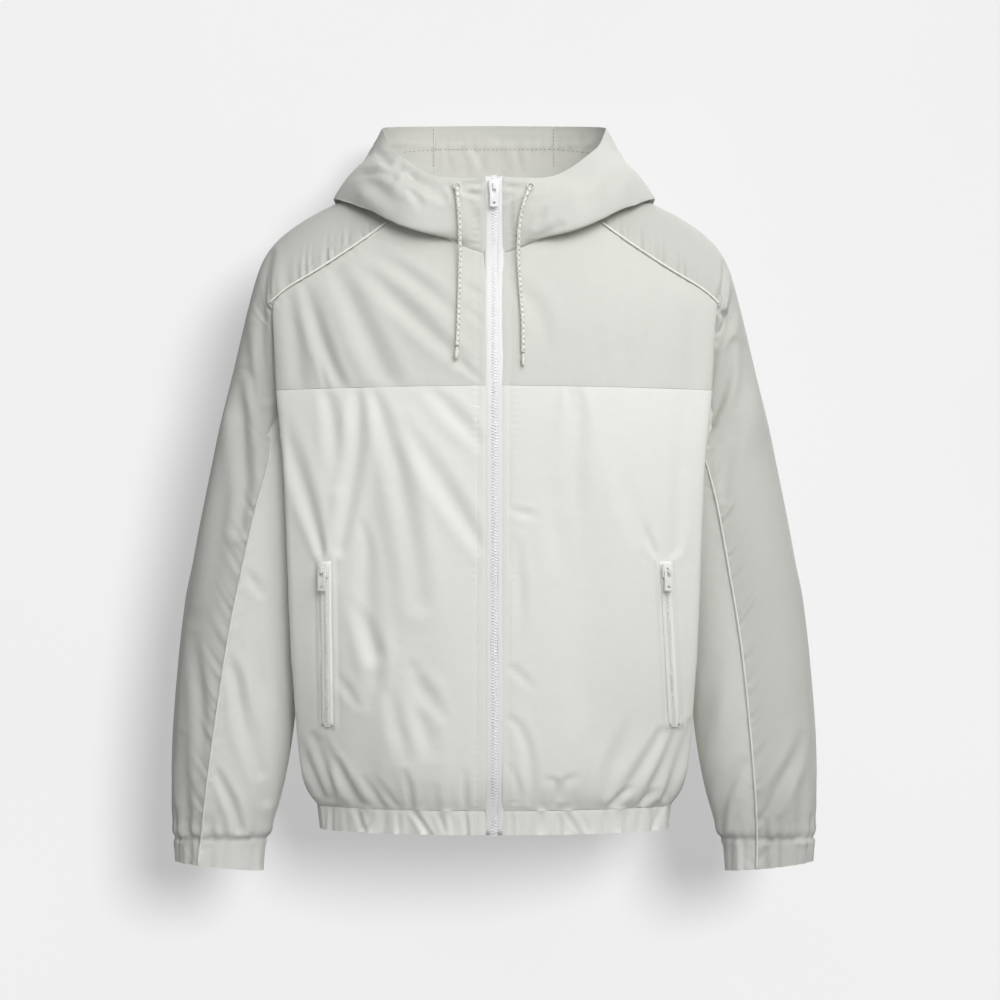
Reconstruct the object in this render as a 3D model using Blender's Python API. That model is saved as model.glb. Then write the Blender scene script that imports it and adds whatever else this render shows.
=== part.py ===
"""Hooded windbreaker, hollow and upright, in the form that it takes on a wearer.

Tables and sizes are in millimetres and are scaled to metres when a mesh is made.
+X is to the right of someone facing the jacket, -Y is the front and +Z is up.
The origin lies between the shoulders, at the height where the jacket rests on them.
Each side is worked out at +X, and the other side is its mirror image.
"""

import math

import bmesh
import bpy
import numpy as np
from mathutils import Matrix, Vector, kdtree
from mathutils.bvhtree import BVHTree

MM = 0.001

# Driving dimensions
CLOTH = 1.6
SEAM_GAP = 0.3
RESTING_GAP = 0.5
ZIP_OPENING = 8.3
ZIP_CHAIN_HALF = 3.0
TAPE = 0.9
TAPE_HALF_GAP = 3.4
PIPING_RADIUS = 1.3
CORD_RADIUS = 2.1
TIP_RADIUS = 2.6
TIP_LENGTH = 14.0
EYELET_RADIUS = 3.5
EYELET_WIRE = 1.0

# Columns of cloth from the zip to the side fold, and from there to the side seam
FRONT_COLUMNS = 13
BACK_COLUMNS = 9
TUCK_COLUMNS = 3

# Depth of the front edge at the zip, from the hem to the top of the hood
CENTRE_FRONT_COLUMNS = ("height", "depth")
CENTRE_FRONT = (
    (-636, 106),
    (-611, 109),
    (-600, 114),
    (-580, 119),
    (-540, 122),
    (-450, 124),
    (-350, 124),
    (-250, 123),
    (-184, 120),
    (-120, 107),
    (-80, 94),
    (-45, 82),
    (-20, 82),
    (10, 84),
    (34, 85),
)

# Depth of the back along its centre, from the hem to the neck seam
CENTRE_BACK_COLUMNS = ("height", "depth")
CENTRE_BACK = (
    (-636, 102),
    (-611, 105),
    (-600, 110),
    (-580, 113),
    (-545, 112),
    (-483, 108),
    (-421, 108),
    (-358, 111),
    (-296, 116),
    (-245, 121),
    (-180, 124),
    (-110, 120),
    (-64, 112),
    (-20, 98),
    (20, 78),
    (43, 66),
)

# Sections of the front from the neck to the hem: where each meets the zip, where the cloth
# folds back at the side, and where it is sewn to the sleeve or, below the arm, to the back
NECK, CORNER, YOKE_SEAM, UNDERARM, HEM_SEAM, HEM = 0, 3, 5, 7, 15, 16
EDGE_COLUMNS = ("centre_z", "fold_x", "fold_y", "seam_x", "seam_y", "seam_z")
FRONT_EDGE = (
    (-45, 91, -52, 94, -50, 0),
    (-62, 124, -61, 127, -60, -26),
    (-84, 184, -68, 187, -66, -66),
    (-104, 226, -64, 229, -60, -94),
    (-128, 229, -68, 224, -52, -122),
    (-180, 227, -78, 217, -46, -184),
    (-214, 226, -81, 206, -30, -221),
    (-245, 224, -82, 180, 0, -250),
    (-296, 222, -82, 178, 0, -296),
    (-358, 219, -80, 182, 0, -358),
    (-421, 216, -76, 187, 0, -421),
    (-483, 212, -68, 192, 0, -483),
    (-545, 206, -50, 198, 0, -545),
    (-580, 199, -42, 200, 0, -580),
    (-600, 191, -38, 193, 0, -600),
    (-611, 181, -36, 184, 0, -611),
    (-636, 178, -36, 181, 0, -636),
)
BACK_EDGE = (
    (43, 79, 47, 82, 46, 38),
    (20, 122, 60, 126, 58, 6),
    (-20, 178, 70, 182, 67, -44),
    (-64, 216, 68, 220, 63, -86),
    (-110, 222, 70, 217, 52, -122),
    (-180, 221, 74, 211, 44, -184),
    (-214, 220, 76, 203, 30, -221),
    (-245, 218, 76, 180, 0, -250),
    (-296, 216, 76, 178, 0, -296),
    (-358, 213, 75, 182, 0, -358),
    (-421, 211, 72, 187, 0, -421),
    (-483, 208, 66, 192, 0, -483),
    (-545, 203, 50, 198, 0, -545),
    (-580, 197, 42, 200, 0, -580),
    (-600, 189, 38, 193, 0, -600),
    (-611, 180, 36, 184, 0, -611),
    (-636, 177, 36, 181, 0, -636),
)

# The sleeve over the shoulder, at the front table's first eight sections: its outer ridge,
# and how far the cloth reaches out, forward and up as it leaves the seams and the ridge
SHOULDER_COLUMNS = (
    "ridge_x", "ridge_y", "ridge_z", "out", "forward", "front_rise", "back_rise", "ridge_reach",
)
SHOULDER = (
    (104, 0, 32, 5, -14, 12, -1, 16),
    (150, 2, 19, 8, -12, 18, 6, 24),
    (204, 4, -8, 10, -6, 26, 16, 30),
    (238, 4, -40, 12, 2, 18, 16, 36),
    (255, 3, -92, 18, 10, 6, 6, 50),
    (277, 2, -184, 14, 16, 0, 0, 70),
    (286, 1, -222, 24, 32, 0, 0, 84),
    (291, 0, -249, 0, 84, 0, 0, 84),
)

# The sleeve below the arm: its outer and inner lines, the depth of its middle, and how far
# it stands in front of that and behind it. The last three sections are the elastic cuff
CUFF_SEAM, CUFF = 15, 17
ARM_COLUMNS = ("outer_x", "outer_z", "inner_x", "inner_z", "middle_y", "front", "back")
ARM = (
    (301, -296, 185, -298, -2, 66, 64),
    (314, -358, 190, -360, -4, 66, 61),
    (324, -421, 196, -424, -7, 64, 58),
    (330, -483, 201, -487, -10, 62, 55),
    (334, -545, 208, -550, -12, 60, 52),
    (335, -588, 217, -596, -14, 56, 49),
    (334, -620, 227, -629, -15, 48, 43),
    (331, -641, 235, -650, -16, 38, 35),
    (332, -655, 237, -664, -16, 37, 34),
    (331, -669, 238, -679, -16, 36, 33),
)

# Where the piped seam runs round the sleeve, from the yoke seam to the cuff: 0 is the inner
# line or armhole, 1 the outer ridge and 2 the inner line again, reached from behind
SLEEVE_SEAM_COLUMNS = ("left_front", "right_front", "back")
SLEEVE_SEAM = (
    (0.00, 0.00, 2.00),
    (0.30, 0.26, 1.72),
    (0.45, 0.38, 1.58),
    (0.50, 0.42, 1.52),
    (0.52, 0.43, 1.50),
    (0.55, 0.45, 1.48),
    (0.57, 0.46, 1.46),
    (0.59, 0.46, 1.45),
    (0.60, 0.45, 1.44),
    (0.61, 0.43, 1.43),
    (0.62, 0.41, 1.42),
    (0.63, 0.40, 1.42),
    (0.64, 0.39, 1.42),
)

# Sections of the hood from the zip to the centre of the back. Each starts at the neck seam,
# rolls over, hangs down to its fold, and comes up outside to the edge of the face opening
HOOD_SEAM, HOOD_BACK = 7, 8
HOOD_COLUMNS = ("roll x, y, z", "inner layer x, y, z", "fold x, y, z", "outer layer x, y, z", "edge x, y, z")
HOOD = (
    (8.3, -82, -30, 8.3, -82.5, -14, 8.3, -83.5, 2, 8.3, -84.5, 18, 8.3, -85, 34),
    (41, -84, -31, 42, -87, -27, 43, -89, -20, 45, -88, 6, 45, -82, 32),
    (70, -80, -22, 77, -88, -24, 83, -92, -20, 85, -88, 14, 68, -72, 38),
    (106, -57, 6, 118, -62, 0, 130, -62, 0, 122, -60, 36, 93, -40, 57),
    (118, 2, 45, 146, 4, 30, 171, 6, 14, 148, 12, 48, 110, 20, 76),
    (110, 34, 54, 137, 54, 22, 162, 68, -6, 148, 66, 46, 116, 48, 90),
    (94, 60, 50, 120, 92, 6, 142, 114, -54, 142, 116, 36, 119, 74, 99),
    (53, 82, 46, 58, 114, 12, 68, 144, -116, 68, 164, 0, 62, 110, 103),
    (0, 87, 46, 0, 118, 10, 0, 148, -128, 0, 170, 0, 0, 116, 104),
)

# Broad folds of the front: top and bottom across from the zip, half width, and height
# of the ridge, or depth of the trough where it is negative
FOLD_COLUMNS = ("top_x", "top_z", "bottom_x", "bottom_z", "half_width", "height")
FRONT_FOLDS = {
    "left": (
        (60, -60, 170, -190, 22, -3.0),
        (110, -70, 195, -180, 16, 2.5),
        (95, -200, 60, -420, 26, 4.0),
        (130, -210, 120, -470, 22, -4.0),
        (185, -260, 165, -400, 18, 3.0),
        (120, -480, 85, -600, 22, 4.0),
        (60, -430, 100, -570, 18, -3.5),
        (185, -520, 130, -606, 12, 3.0),
    ),
    "right": (
        (120, -60, 60, -170, 24, 2.0),
        (60, -210, 90, -420, 26, -3.0),
        (115, -200, 130, -470, 24, 4.0),
        (180, -240, 190, -400, 18, 2.5),
        (60, -480, 75, -600, 18, 3.0),
        (120, -470, 110, -600, 22, -3.5),
        (185, -510, 140, -606, 12, 3.0),
    ),
}
GATHER_DEPTH = 3.2
GATHER_RISE = 45.0
CUFF_GATHER_DEPTH = 2.2
CUFF_GATHER_RISE = 40.0

# The zip that closes the front, and one zip on each front for its pocket
SLIDER_TOP = 31.0
POCKET_COLUMNS = ("top_x", "top_z", "bottom_x", "bottom_z")
POCKETS = {"left": (171, -358, 169, -526), "right": (173, -358, 183, -526)}
POCKET_TAPE_HALF = 6.0
POCKET_LIFT = 1.0
CHAIN = 2.0
SLIDER_SIZE = (11.5, 2.4, 15.0)
BAIL_WIDTH = 2.6
BAIL_BAR = 1.1
BAIL_HEIGHT = 4.0
BAIL_LENGTH = 6.8
PULL_SIZE = (9.0, 1.5, 21.0)
PULL_WINDOW = (3.4, 5.4)
PULL_SLOT = (3.0, 2.2, 3.0)
PULL_BAR = 0.8
HINGE_CLEARANCE = 1.45

# Drawcords, from the eyelet to the tip, as (x, y, z) points
CORD_ROUTES = {
    "left": (
        (-38.0, -89.5, 23),
        (-37.5, -92.5, 14),
        (-36.0, -93.5, -2),
        (-35.0, -94.0, -22),
        (-34.7, -93.0, -45),
        (-35.0, -97.0, -68),
        (-35.5, -104.0, -92),
        (-36.2, -111.5, -116),
        (-37.5, -116.5, -140),
    ),
    "right": (
        (37.0, -89.5, 23),
        (32.0, -92.5, 12),
        (27.5, -93.0, -6),
        (25.0, -93.0, -26),
        (24.6, -92.5, -46),
        (26.0, -97.5, -70),
        (27.6, -104.5, -94),
        (29.2, -112.0, -118),
        (29.4, -117.5, -147),
    ),
}

LIGHT_GREY = (0.66, 0.66, 0.63)
OFF_WHITE = (0.76, 0.76, 0.73)
WHITE = (0.86, 0.86, 0.86)
CORD_GREY = (0.62, 0.62, 0.59)
SIDES = {"left": -1, "right": 1}


def smooth_rows(rows):
    """A curve through the rows of a table, by row number, that never overshoots them."""
    values = np.array(rows, float)
    steps = np.diff(values, axis=0)
    product = steps[:-1] * steps[1:]
    total = np.where(product > 0, steps[:-1] + steps[1:], 1.0)
    slopes = np.vstack([steps[:1], np.where(product > 0, 2 * product / total, 0.0), steps[-1:]])

    def at(position):
        row = min(int(position), len(values) - 2)
        t = position - row
        start = values[row] * (1 + 2 * t) + slopes[row] * t
        end = values[row + 1] * (3 - 2 * t) + slopes[row + 1] * (t - 1)
        return start * (1 - t) ** 2 + end * t**2

    return at


def depth_by_height(rows):
    """Depth as a function of height, read from a smooth curve through a table's rows."""
    curve = smooth_rows(rows)
    fine = np.array([curve(t) for t in np.linspace(0, len(rows) - 1, 300)])
    return lambda height: float(np.interp(height, fine[:, 0], fine[:, 1]))


centre_front = depth_by_height(CENTRE_FRONT)
centre_back = depth_by_height(CENTRE_BACK)
front_edge = smooth_rows(FRONT_EDGE)
back_edge = smooth_rows(BACK_EDGE)
sleeve_seam = smooth_rows(SLEEVE_SEAM)
hood_section = smooth_rows(HOOD)


def body_row(edge, depth_at, facing, section, columns, start_x):
    """Points of the front or back at one section, from its centre out to the side seam."""
    centre_z, fold_x, fold_y, seam_x, seam_y, seam_z = edge(section)
    centre_y = facing * depth_at(centre_z)
    points = []
    for g in np.linspace(start_x / fold_x, 1.0, columns + 1):
        y = centre_y + (fold_y - centre_y) * g**2.6
        points.append((fold_x * g, y, centre_z + (seam_z - centre_z) * g**1.6))
    tuck = (seam_x + 0.12 * (fold_x - seam_x), seam_y + 0.62 * (fold_y - seam_y), seam_z)
    behind = smooth_rows([(fold_x, fold_y, seam_z), tuck, (seam_x, seam_y, seam_z)])
    points += [behind(t) for t in np.linspace(0, 2, TUCK_COLUMNS + 1)[1:]]
    return np.array(points)


def front_row(section):
    return body_row(front_edge, centre_front, -1, section, FRONT_COLUMNS, ZIP_OPENING)


def back_row(section):
    return body_row(back_edge, centre_back, 1, section, BACK_COLUMNS, 0.0)


def sleeve_sections():
    """One row for each sleeve section: front seam, ridge and back seam, and their handles."""
    rows = []
    for number, shoulder in enumerate(SHOULDER):
        *ridge, out, forward, front_rise, back_rise, reach = shoulder
        front_handle = (out, -forward, front_rise)
        back_handle = (out, forward, back_rise)
        seams = (*FRONT_EDGE[number][3:], *BACK_EDGE[number][3:])
        rows.append((*seams, *ridge, *front_handle, *back_handle, reach, reach))
    half_ellipse = 4 / 3
    for outer_x, outer_z, inner_x, inner_z, middle_y, front, back in ARM:
        inner = (inner_x, middle_y, inner_z)
        ridge = (outer_x, middle_y, outer_z)
        reach_front, reach_back = half_ellipse * front, half_ellipse * back
        handles = (0, -reach_front, 0, 0, reach_back, 0, reach_front, reach_back)
        rows.append((*inner, *inner, *ridge, *handles))
    return rows


sleeve_section = smooth_rows(sleeve_sections())


def bezier(start, start_handle, end_handle, end, t):
    s = 1 - t
    return start * s**3 + 3 * start_handle * s * s * t + 3 * end_handle * s * t * t + end * t**3


def sleeve_point(section, around):
    """A point of the sleeve: around is 0 at the front seam, 1 at the ridge, 2 at the back seam."""
    row = sleeve_section(section)
    front, back, ridge, front_handle, back_handle = row[:15].reshape(5, 3)
    if around <= 1:
        ridge_handle = ridge - (0, row[15], 0)
        return bezier(front, front + front_handle, ridge_handle, ridge, around)
    ridge_handle = ridge + (0, row[16], 0)
    return bezier(ridge, ridge_handle, back + back_handle, back, around - 1)


def neckline(position):
    """The neck seam, by hood section: the front to section 3, the sleeve to 6, then the back."""
    if position < 3:
        line, share = front_row(NECK), position / 3
    elif position <= 6:
        return sleeve_point(NECK, np.interp(position, (3, 4, 6), (0, 1, 2)))
    else:
        line, share = back_row(NECK)[::-1], (position - 6) / 2
    places = np.linspace(0, 1, len(line))
    return np.array([np.interp(share, places, line[:, axis]) for axis in range(3)])


def hood_row(position, steps):
    """Points of the hood at one section, from the neck seam to the edge of the face opening."""
    section = hood_section(position).reshape(5, 3)
    profile = smooth_rows(np.vstack([neckline(position), section]))
    return np.array([profile(t) for t in np.linspace(0, 5, steps + 1)])


def fold_height(folds, x, z):
    """How far the folds lift the cloth at a place on the front."""
    lift = 0.0
    for top_x, top_z, bottom_x, bottom_z, half_width, height in folds:
        along = np.array((bottom_x - top_x, bottom_z - top_z), float)
        offset = np.array((x - top_x, z - top_z))
        share = float(np.clip(offset @ along / (along @ along), 0, 1))
        away = np.linalg.norm(offset - share * along)
        lift += height * math.sin(math.pi * share) * math.exp(-((away / half_width) ** 2))
    return lift


def fade(value, start, end):
    t = min(max((value - start) / (end - start), 0.0), 1.0)
    return t * t * (3 - 2 * t)


def folded(rows, folds):
    """The front's rows with its broad folds, which fade out towards the seams."""
    moved = rows.copy()
    for row in moved:
        for column, point in enumerate(row[: FRONT_COLUMNS + 1]):
            calm = fade(column, 0, 3) * fade(FRONT_COLUMNS - column, 0, 3)
            calm *= fade(point[2], -608, -585)
            point[1] -= calm * fold_height(folds, point[0], point[2])
    return moved


def gathered(rows, depths):
    """Rows drawn up by elastic: neighbouring columns go in and out, by each row's own depth."""
    moved = rows.copy()
    last = rows.shape[1] - 1
    for row, depth in zip(moved, depths):
        across = np.gradient(row, axis=0)
        outward = np.stack([-across[:, 1], across[:, 0]], axis=1)
        outward /= np.maximum(np.linalg.norm(outward, axis=1, keepdims=True), 1e-9)
        for column in range(1, last):
            uneven = 0.7 + 0.3 * math.sin(2.3 * column + 0.8)
            calm = fade(column, 0, 2) * fade(last - column, 0, 2)
            row[column, :2] += outward[column] * depth * uneven * calm * (-1) ** column
    return moved


class Sheet:
    """An open sheet of cloth that becomes a wall, with its name and colour."""

    def __init__(self, name, grids, colour, wall=CLOTH, roughness=0.6, gap=SEAM_GAP):
        self.name, self.colour, self.wall, self.roughness = name, colour, wall, roughness
        self.gap = gap
        self.mesh = bmesh.new()
        for rows in grids:
            self.add_grid(np.asarray(rows, float))
        bmesh.ops.remove_doubles(self.mesh, verts=self.mesh.verts[:], dist=1e-4)
        self.mesh.normal_update()

    def add_grid(self, rows):
        down, across = rows.shape[:2]
        made = bmesh.ops.create_grid(self.mesh, x_segments=across - 1, y_segments=down - 1, size=1)
        for vert in made["verts"]:
            column = round((vert.co.x + 1) / 2 * (across - 1))
            row = round((1 - vert.co.y) / 2 * (down - 1))
            vert.co = rows[row, column]

    def border(self):
        return [vert for vert in self.mesh.verts if vert.is_boundary]


def mirrored(rows, side):
    """Rows worked out at +X, turned over for the left side so that they still face outwards."""
    rows = np.asarray(rows, float)
    return rows if side > 0 else (rows * (-1, 1, 1))[:, ::-1]


def border_shift(vert, distance):
    """The step that takes a border point back from its seam, along the cloth."""
    inward = []
    for edge in vert.link_edges:
        if edge.is_boundary:
            along = (edge.verts[1].co - edge.verts[0].co).normalized()
            to_face = edge.link_faces[0].calc_center_median() - edge.verts[0].co
            inward.append((to_face - along * to_face.dot(along)).normalized())
    step = sum(inward, Vector()) / max(1 + inward[0].dot(inward[-1]), 0.4)
    return step * distance


def sew(sheets):
    """Gives each sheet its wall. Pieces that meet at a seam share one direction for it there."""
    borders = [(vert.co.copy(), vert.normal.copy()) for sheet in sheets for vert in sheet.border()]
    tree = kdtree.KDTree(len(borders))
    for number, (place, _) in enumerate(borders):
        tree.insert(place, number)
    tree.balance()
    for sheet in sheets:
        mesh = sheet.mesh
        inward = {}
        for vert in mesh.verts:
            near = tree.find_range(vert.co, 0.5) if vert.is_boundary else ()
            mean = sum((borders[number][1] for _, number, _ in near), Vector())
            normal = mean.normalized() if near and mean.length > 0.3 else vert.normal
            inward[vert] = -normal * sheet.wall
        shifts = {vert: border_shift(vert, sheet.gap / 2) for vert in sheet.border()}
        for vert, shift in shifts.items():
            vert.co += shift
        thicken(mesh, inward)


def thicken(mesh, inward):
    """Turns an open sheet into a closed wall, from each point's step to the inside."""
    rim = [edge for edge in mesh.edges if edge.is_boundary]
    copied = bmesh.ops.duplicate(mesh, geom=mesh.verts[:] + mesh.edges[:] + mesh.faces[:])
    inner = {vert: copied["vert_map"][vert] for vert in inward}
    for vert, step in inward.items():
        inner[vert].co = vert.co + step
    bmesh.ops.reverse_faces(mesh, faces=[f for f in copied["geom"] if isinstance(f, bmesh.types.BMFace)])
    for edge in rim:
        loop = edge.link_loops[0]
        start, end = loop.vert, loop.link_loop_next.vert
        mesh.faces.new((end, start, inner[start], inner[end]))
    mesh.normal_update()


def finish(name, colour, roughness):
    """A material with the piece's colour."""
    material = bpy.data.materials.new(name)
    material.use_nodes = True
    shader = material.node_tree.nodes["Principled BSDF"]
    shader.inputs["Base Color"].default_value = (*colour, 1)
    shader.inputs["Roughness"].default_value = roughness
    shader.inputs["Metallic"].default_value = 0.0
    return material


def place_object(name, data, colour, roughness, parent):
    data.materials.append(finish(name, colour, roughness))
    piece = bpy.data.objects.new(name, data)
    piece.parent = parent
    jacket.objects.link(piece)
    return piece


def place_sheet(sheet, parent):
    data = bpy.data.meshes.new(sheet.name)
    sheet.mesh.transform(Matrix.Scale(MM, 4))
    sheet.mesh.to_mesh(data)
    data.shade_smooth()
    data.set_sharp_from_angle(angle=math.radians(50))
    return place_object(sheet.name, data, sheet.colour, sheet.roughness, parent)


# The jacket's cloth

YOKE_SECTIONS = (0, 0.5, 1, 1.5, 2, 2.5, 3, 3.5, 4, 5)
LOWER_SECTIONS = (5, 6, 7, 8, 9, 10, 11, 12, 12.6, 13.2, 14, 14.5, 15)
HEM_SECTIONS = (15, 15.5, 16)
SLEEVE_SECTIONS = (*YOKE_SECTIONS, 6, 7, 8, 9, 10, 11, 12, 13, 14, 15, 15.5, 16, 17)
UNDER_SECTIONS = tuple(s for s in SLEEVE_SECTIONS if s >= YOKE_SEAM)
SLEEVE_TOP_COLUMNS = 14
SLEEVE_UNDER_COLUMNS = 5
FRONT_OF_HOOD = (0, 0.5, 1, 1.5, 2, 2.5)
SIDE_OF_HOOD = [*np.linspace(3, 4, SLEEVE_TOP_COLUMNS // 2 + 1)[:-1], *np.linspace(4, 6, SLEEVE_TOP_COLUMNS // 2 + 1)]
HOOD_SECTIONS = (*FRONT_OF_HOOD, *SIDE_OF_HOOD, 6.5, 7)
HOOD_STEPS = 11


def hem_gathers(rows):
    """Depth of the gathers in each row of the body: full at the hem seam, none further up."""
    heights = rows[:, 0, 2]
    seam = FRONT_EDGE[HEM_SEAM][0]
    return [GATHER_DEPTH * math.exp(-max(z - seam, 0) / GATHER_RISE) for z in heights]


def cuff_gathers(sections):
    seam = sleeve_point(CUFF_SEAM, 1)[2]
    rises = [max(sleeve_point(s, 1)[2] - seam, 0) for s in sections]
    return [CUFF_GATHER_DEPTH * math.exp(-rise / CUFF_GATHER_RISE) for rise in rises]


def front_sheets(side_name, side):
    folds = FRONT_FOLDS[side_name]
    yoke = folded(np.array([front_row(s) for s in YOKE_SECTIONS]), folds)
    lower = folded(np.array([front_row(s) for s in LOWER_SECTIONS]), folds)
    lower = gathered(lower, hem_gathers(lower))
    band = np.array([front_row(s) for s in HEM_SECTIONS])
    band = gathered(band, hem_gathers(band))
    return [
        Sheet(f"front_yoke_{side_name}", [mirrored(yoke, side)], LIGHT_GREY),
        Sheet(f"front_lower_{side_name}", [mirrored(lower, side)], OFF_WHITE),
        Sheet(f"hem_band_{side_name}", [mirrored(band, side)], OFF_WHITE),
    ]


def whole_back(sections):
    """Rows of the back from the right side seam, round behind, to the left one."""
    half = np.array([back_row(s) for s in sections])
    return np.concatenate([half[:, ::-1], (half * (-1, 1, 1))[:, 1:]], axis=1)


def back_sheets():
    lower = whole_back(LOWER_SECTIONS)
    lower = gathered(lower, hem_gathers(lower))
    band = whole_back(HEM_SECTIONS)
    band = gathered(band, hem_gathers(band))
    return [
        Sheet("back_yoke", [whole_back(YOKE_SECTIONS)], LIGHT_GREY),
        Sheet("back_lower", [lower], OFF_WHITE),
        Sheet("hem_band_back", [band], OFF_WHITE),
    ]


def seam_front(section, side_name):
    if section <= YOKE_SEAM:
        return 0.0
    return float(sleeve_seam(section - YOKE_SEAM)[0 if side_name == "left" else 1])


def seam_back(section):
    return 2.0 if section <= YOKE_SEAM else float(sleeve_seam(section - YOKE_SEAM)[2])


def sleeve_rows(sections, ends, columns):
    rows = []
    for section in sections:
        start, end = ends(section)
        rows.append([sleeve_point(section, t) for t in np.linspace(start, end, columns + 1)])
    return gathered(np.array(rows), cuff_gathers(sections))


def sleeve_sheets(side_name, side):
    top = sleeve_rows(
        SLEEVE_SECTIONS, lambda s: (seam_front(s, side_name), seam_back(s)), SLEEVE_TOP_COLUMNS
    )
    front = sleeve_rows(UNDER_SECTIONS, lambda s: (0, seam_front(s, side_name)), SLEEVE_UNDER_COLUMNS)
    behind = sleeve_rows(UNDER_SECTIONS, lambda s: (seam_back(s), 2), SLEEVE_UNDER_COLUMNS)
    under = [mirrored(front, side), mirrored(behind, side)]
    return [
        Sheet(f"sleeve_top_{side_name}", [mirrored(top, side)], LIGHT_GREY),
        Sheet(f"sleeve_under_{side_name}", under, OFF_WHITE, gap=3 * SEAM_GAP),
    ]


def hood_sheets():
    sections = np.array([hood_row(s, HOOD_STEPS) for s in HOOD_SECTIONS])
    side_rows = sections.transpose(1, 0, 2)[::-1]
    half = np.array([hood_row(s, HOOD_STEPS) for s in (7, 7.33, 7.67, HOOD_BACK)])
    half = half.transpose(1, 0, 2)[::-1]
    centre = np.concatenate([half, (half * (-1, 1, 1))[:, -2::-1]], axis=1)
    sides = [
        Sheet(f"hood_{side_name}", [mirrored(side_rows, side)], LIGHT_GREY, gap=3 * SEAM_GAP)
        for side_name, side in SIDES.items()
    ]
    return [*sides, Sheet("hood_centre", [centre], LIGHT_GREY, gap=2 * SEAM_GAP)]


# The zips, piping, eyelets and cords


def strip_up_front(inner_x, outer_x, forward):
    """Rows of a straight strip along the front opening, so far in front of the front edges."""
    heights = np.linspace(CENTRE_FRONT[-1][0], CENTRE_FRONT[0][0], 26)
    return [
        [(x, -centre_front(z) - forward, z) for x in np.linspace(inner_x, outer_x, 2)]
        for z in heights
    ]


def front_zip_sheets():
    tape = strip_up_front(TAPE_HALF_GAP, ZIP_OPENING, -0.3)
    chain = strip_up_front(-ZIP_CHAIN_HALF, ZIP_CHAIN_HALF, CHAIN / 2)
    tapes = [
        Sheet(f"zip_tape_{side_name}", [mirrored(tape, side)], WHITE, TAPE)
        for side_name, side in SIDES.items()
    ]
    return [*tapes, Sheet("zip_teeth", [chain], WHITE, CHAIN, 0.4)]


def on_front(surface, x, z):
    """The place on a finished front where a line from straight ahead meets it, and its normal."""
    place, normal, _, _ = surface.ray_cast(Vector((x, -400, z)), Vector((0, 1, 0)))
    return place, normal


def pocket_line(side_name, share):
    top_x, top_z, bottom_x, bottom_z = POCKETS[side_name]
    x = top_x + (bottom_x - top_x) * share
    return SIDES[side_name] * x, top_z + (bottom_z - top_z) * share


def strip_on_pocket(surface, side_name, half_width, lift, start, columns):
    rows = []
    for share in np.linspace(start, 1, 12):
        x, z = pocket_line(side_name, share)
        row = []
        for across in np.linspace(-half_width, half_width, columns + 1):
            place, normal = on_front(surface, x + across, z)
            row.append(place + normal * lift)
        rows.append(row)
    return rows


def pocket_sheets(side_name, surface):
    tape_lift = POCKET_LIFT + TAPE
    chain_lift = tape_lift + RESTING_GAP + CHAIN
    tape = strip_on_pocket(surface, side_name, POCKET_TAPE_HALF, tape_lift, 0, 2)
    chain = strip_on_pocket(surface, side_name, ZIP_CHAIN_HALF, chain_lift, 0.02, 1)
    return [
        Sheet(f"pocket_tape_{side_name}", [tape], OFF_WHITE, TAPE),
        Sheet(f"pocket_teeth_{side_name}", [chain], WHITE, CHAIN, 0.4),
    ]


def block(name, size, centre, bevel=0.0):
    """A box with rounded edges, in a piece's own frame."""
    mesh = bmesh.new()
    bmesh.ops.create_cube(mesh, size=1, matrix=Matrix.Translation(centre) @ Matrix.Diagonal((*size, 1)))
    if bevel:
        bmesh.ops.bevel(
            mesh, geom=mesh.edges[:], offset=bevel, segments=1, profile=0.5, affect="EDGES", material=-1
        )
    data = bpy.data.meshes.new(name)
    mesh.to_mesh(data)
    mesh.free()
    piece = bpy.data.objects.new(name, data)
    cutters.objects.link(piece)
    piece.hide_render = True
    piece.display_type = "WIRE"
    return piece


def join_and_cut(base, others):
    """The mesh of a block after other blocks are joined to it or cut from it, in order."""
    for operation, other in others:
        modifier = base.modifiers.new(other.name, "BOOLEAN")
        modifier.operation = operation
        modifier.object = other
    graph = bpy.context.evaluated_depsgraph_get()
    data = bpy.data.meshes.new_from_object(base.evaluated_get(graph))
    for piece in (base, *(other for _, other in others)):
        bpy.data.objects.remove(piece)
    return data


def slider_mesh(name):
    """A zip slider: a plate with a bail on its face. Its origin is the pull's hinge."""
    width, thick, tall = SLIDER_SIZE
    face = HINGE_CLEARANCE
    bail_low = -HINGE_CLEARANCE - BAIL_BAR
    bail_z = bail_low + BAIL_LENGTH / 2
    plate = block(f"{name}_plate", SLIDER_SIZE, (0, face + thick / 2, bail_z), 0.7)
    sunk = 0.6
    bail_size = (BAIL_WIDTH, BAIL_HEIGHT + sunk, BAIL_LENGTH)
    bail = block(f"{name}_bail", bail_size, (0, face + sunk - bail_size[1] / 2, bail_z), 0.35)
    hole_size = (2 * BAIL_WIDTH, BAIL_HEIGHT - BAIL_BAR, BAIL_LENGTH - 2 * BAIL_BAR)
    hole = block(f"{name}_hole", hole_size, (0, face - hole_size[1] / 2, bail_z))
    return join_and_cut(plate, [("UNION", bail), ("DIFFERENCE", hole)])


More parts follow.
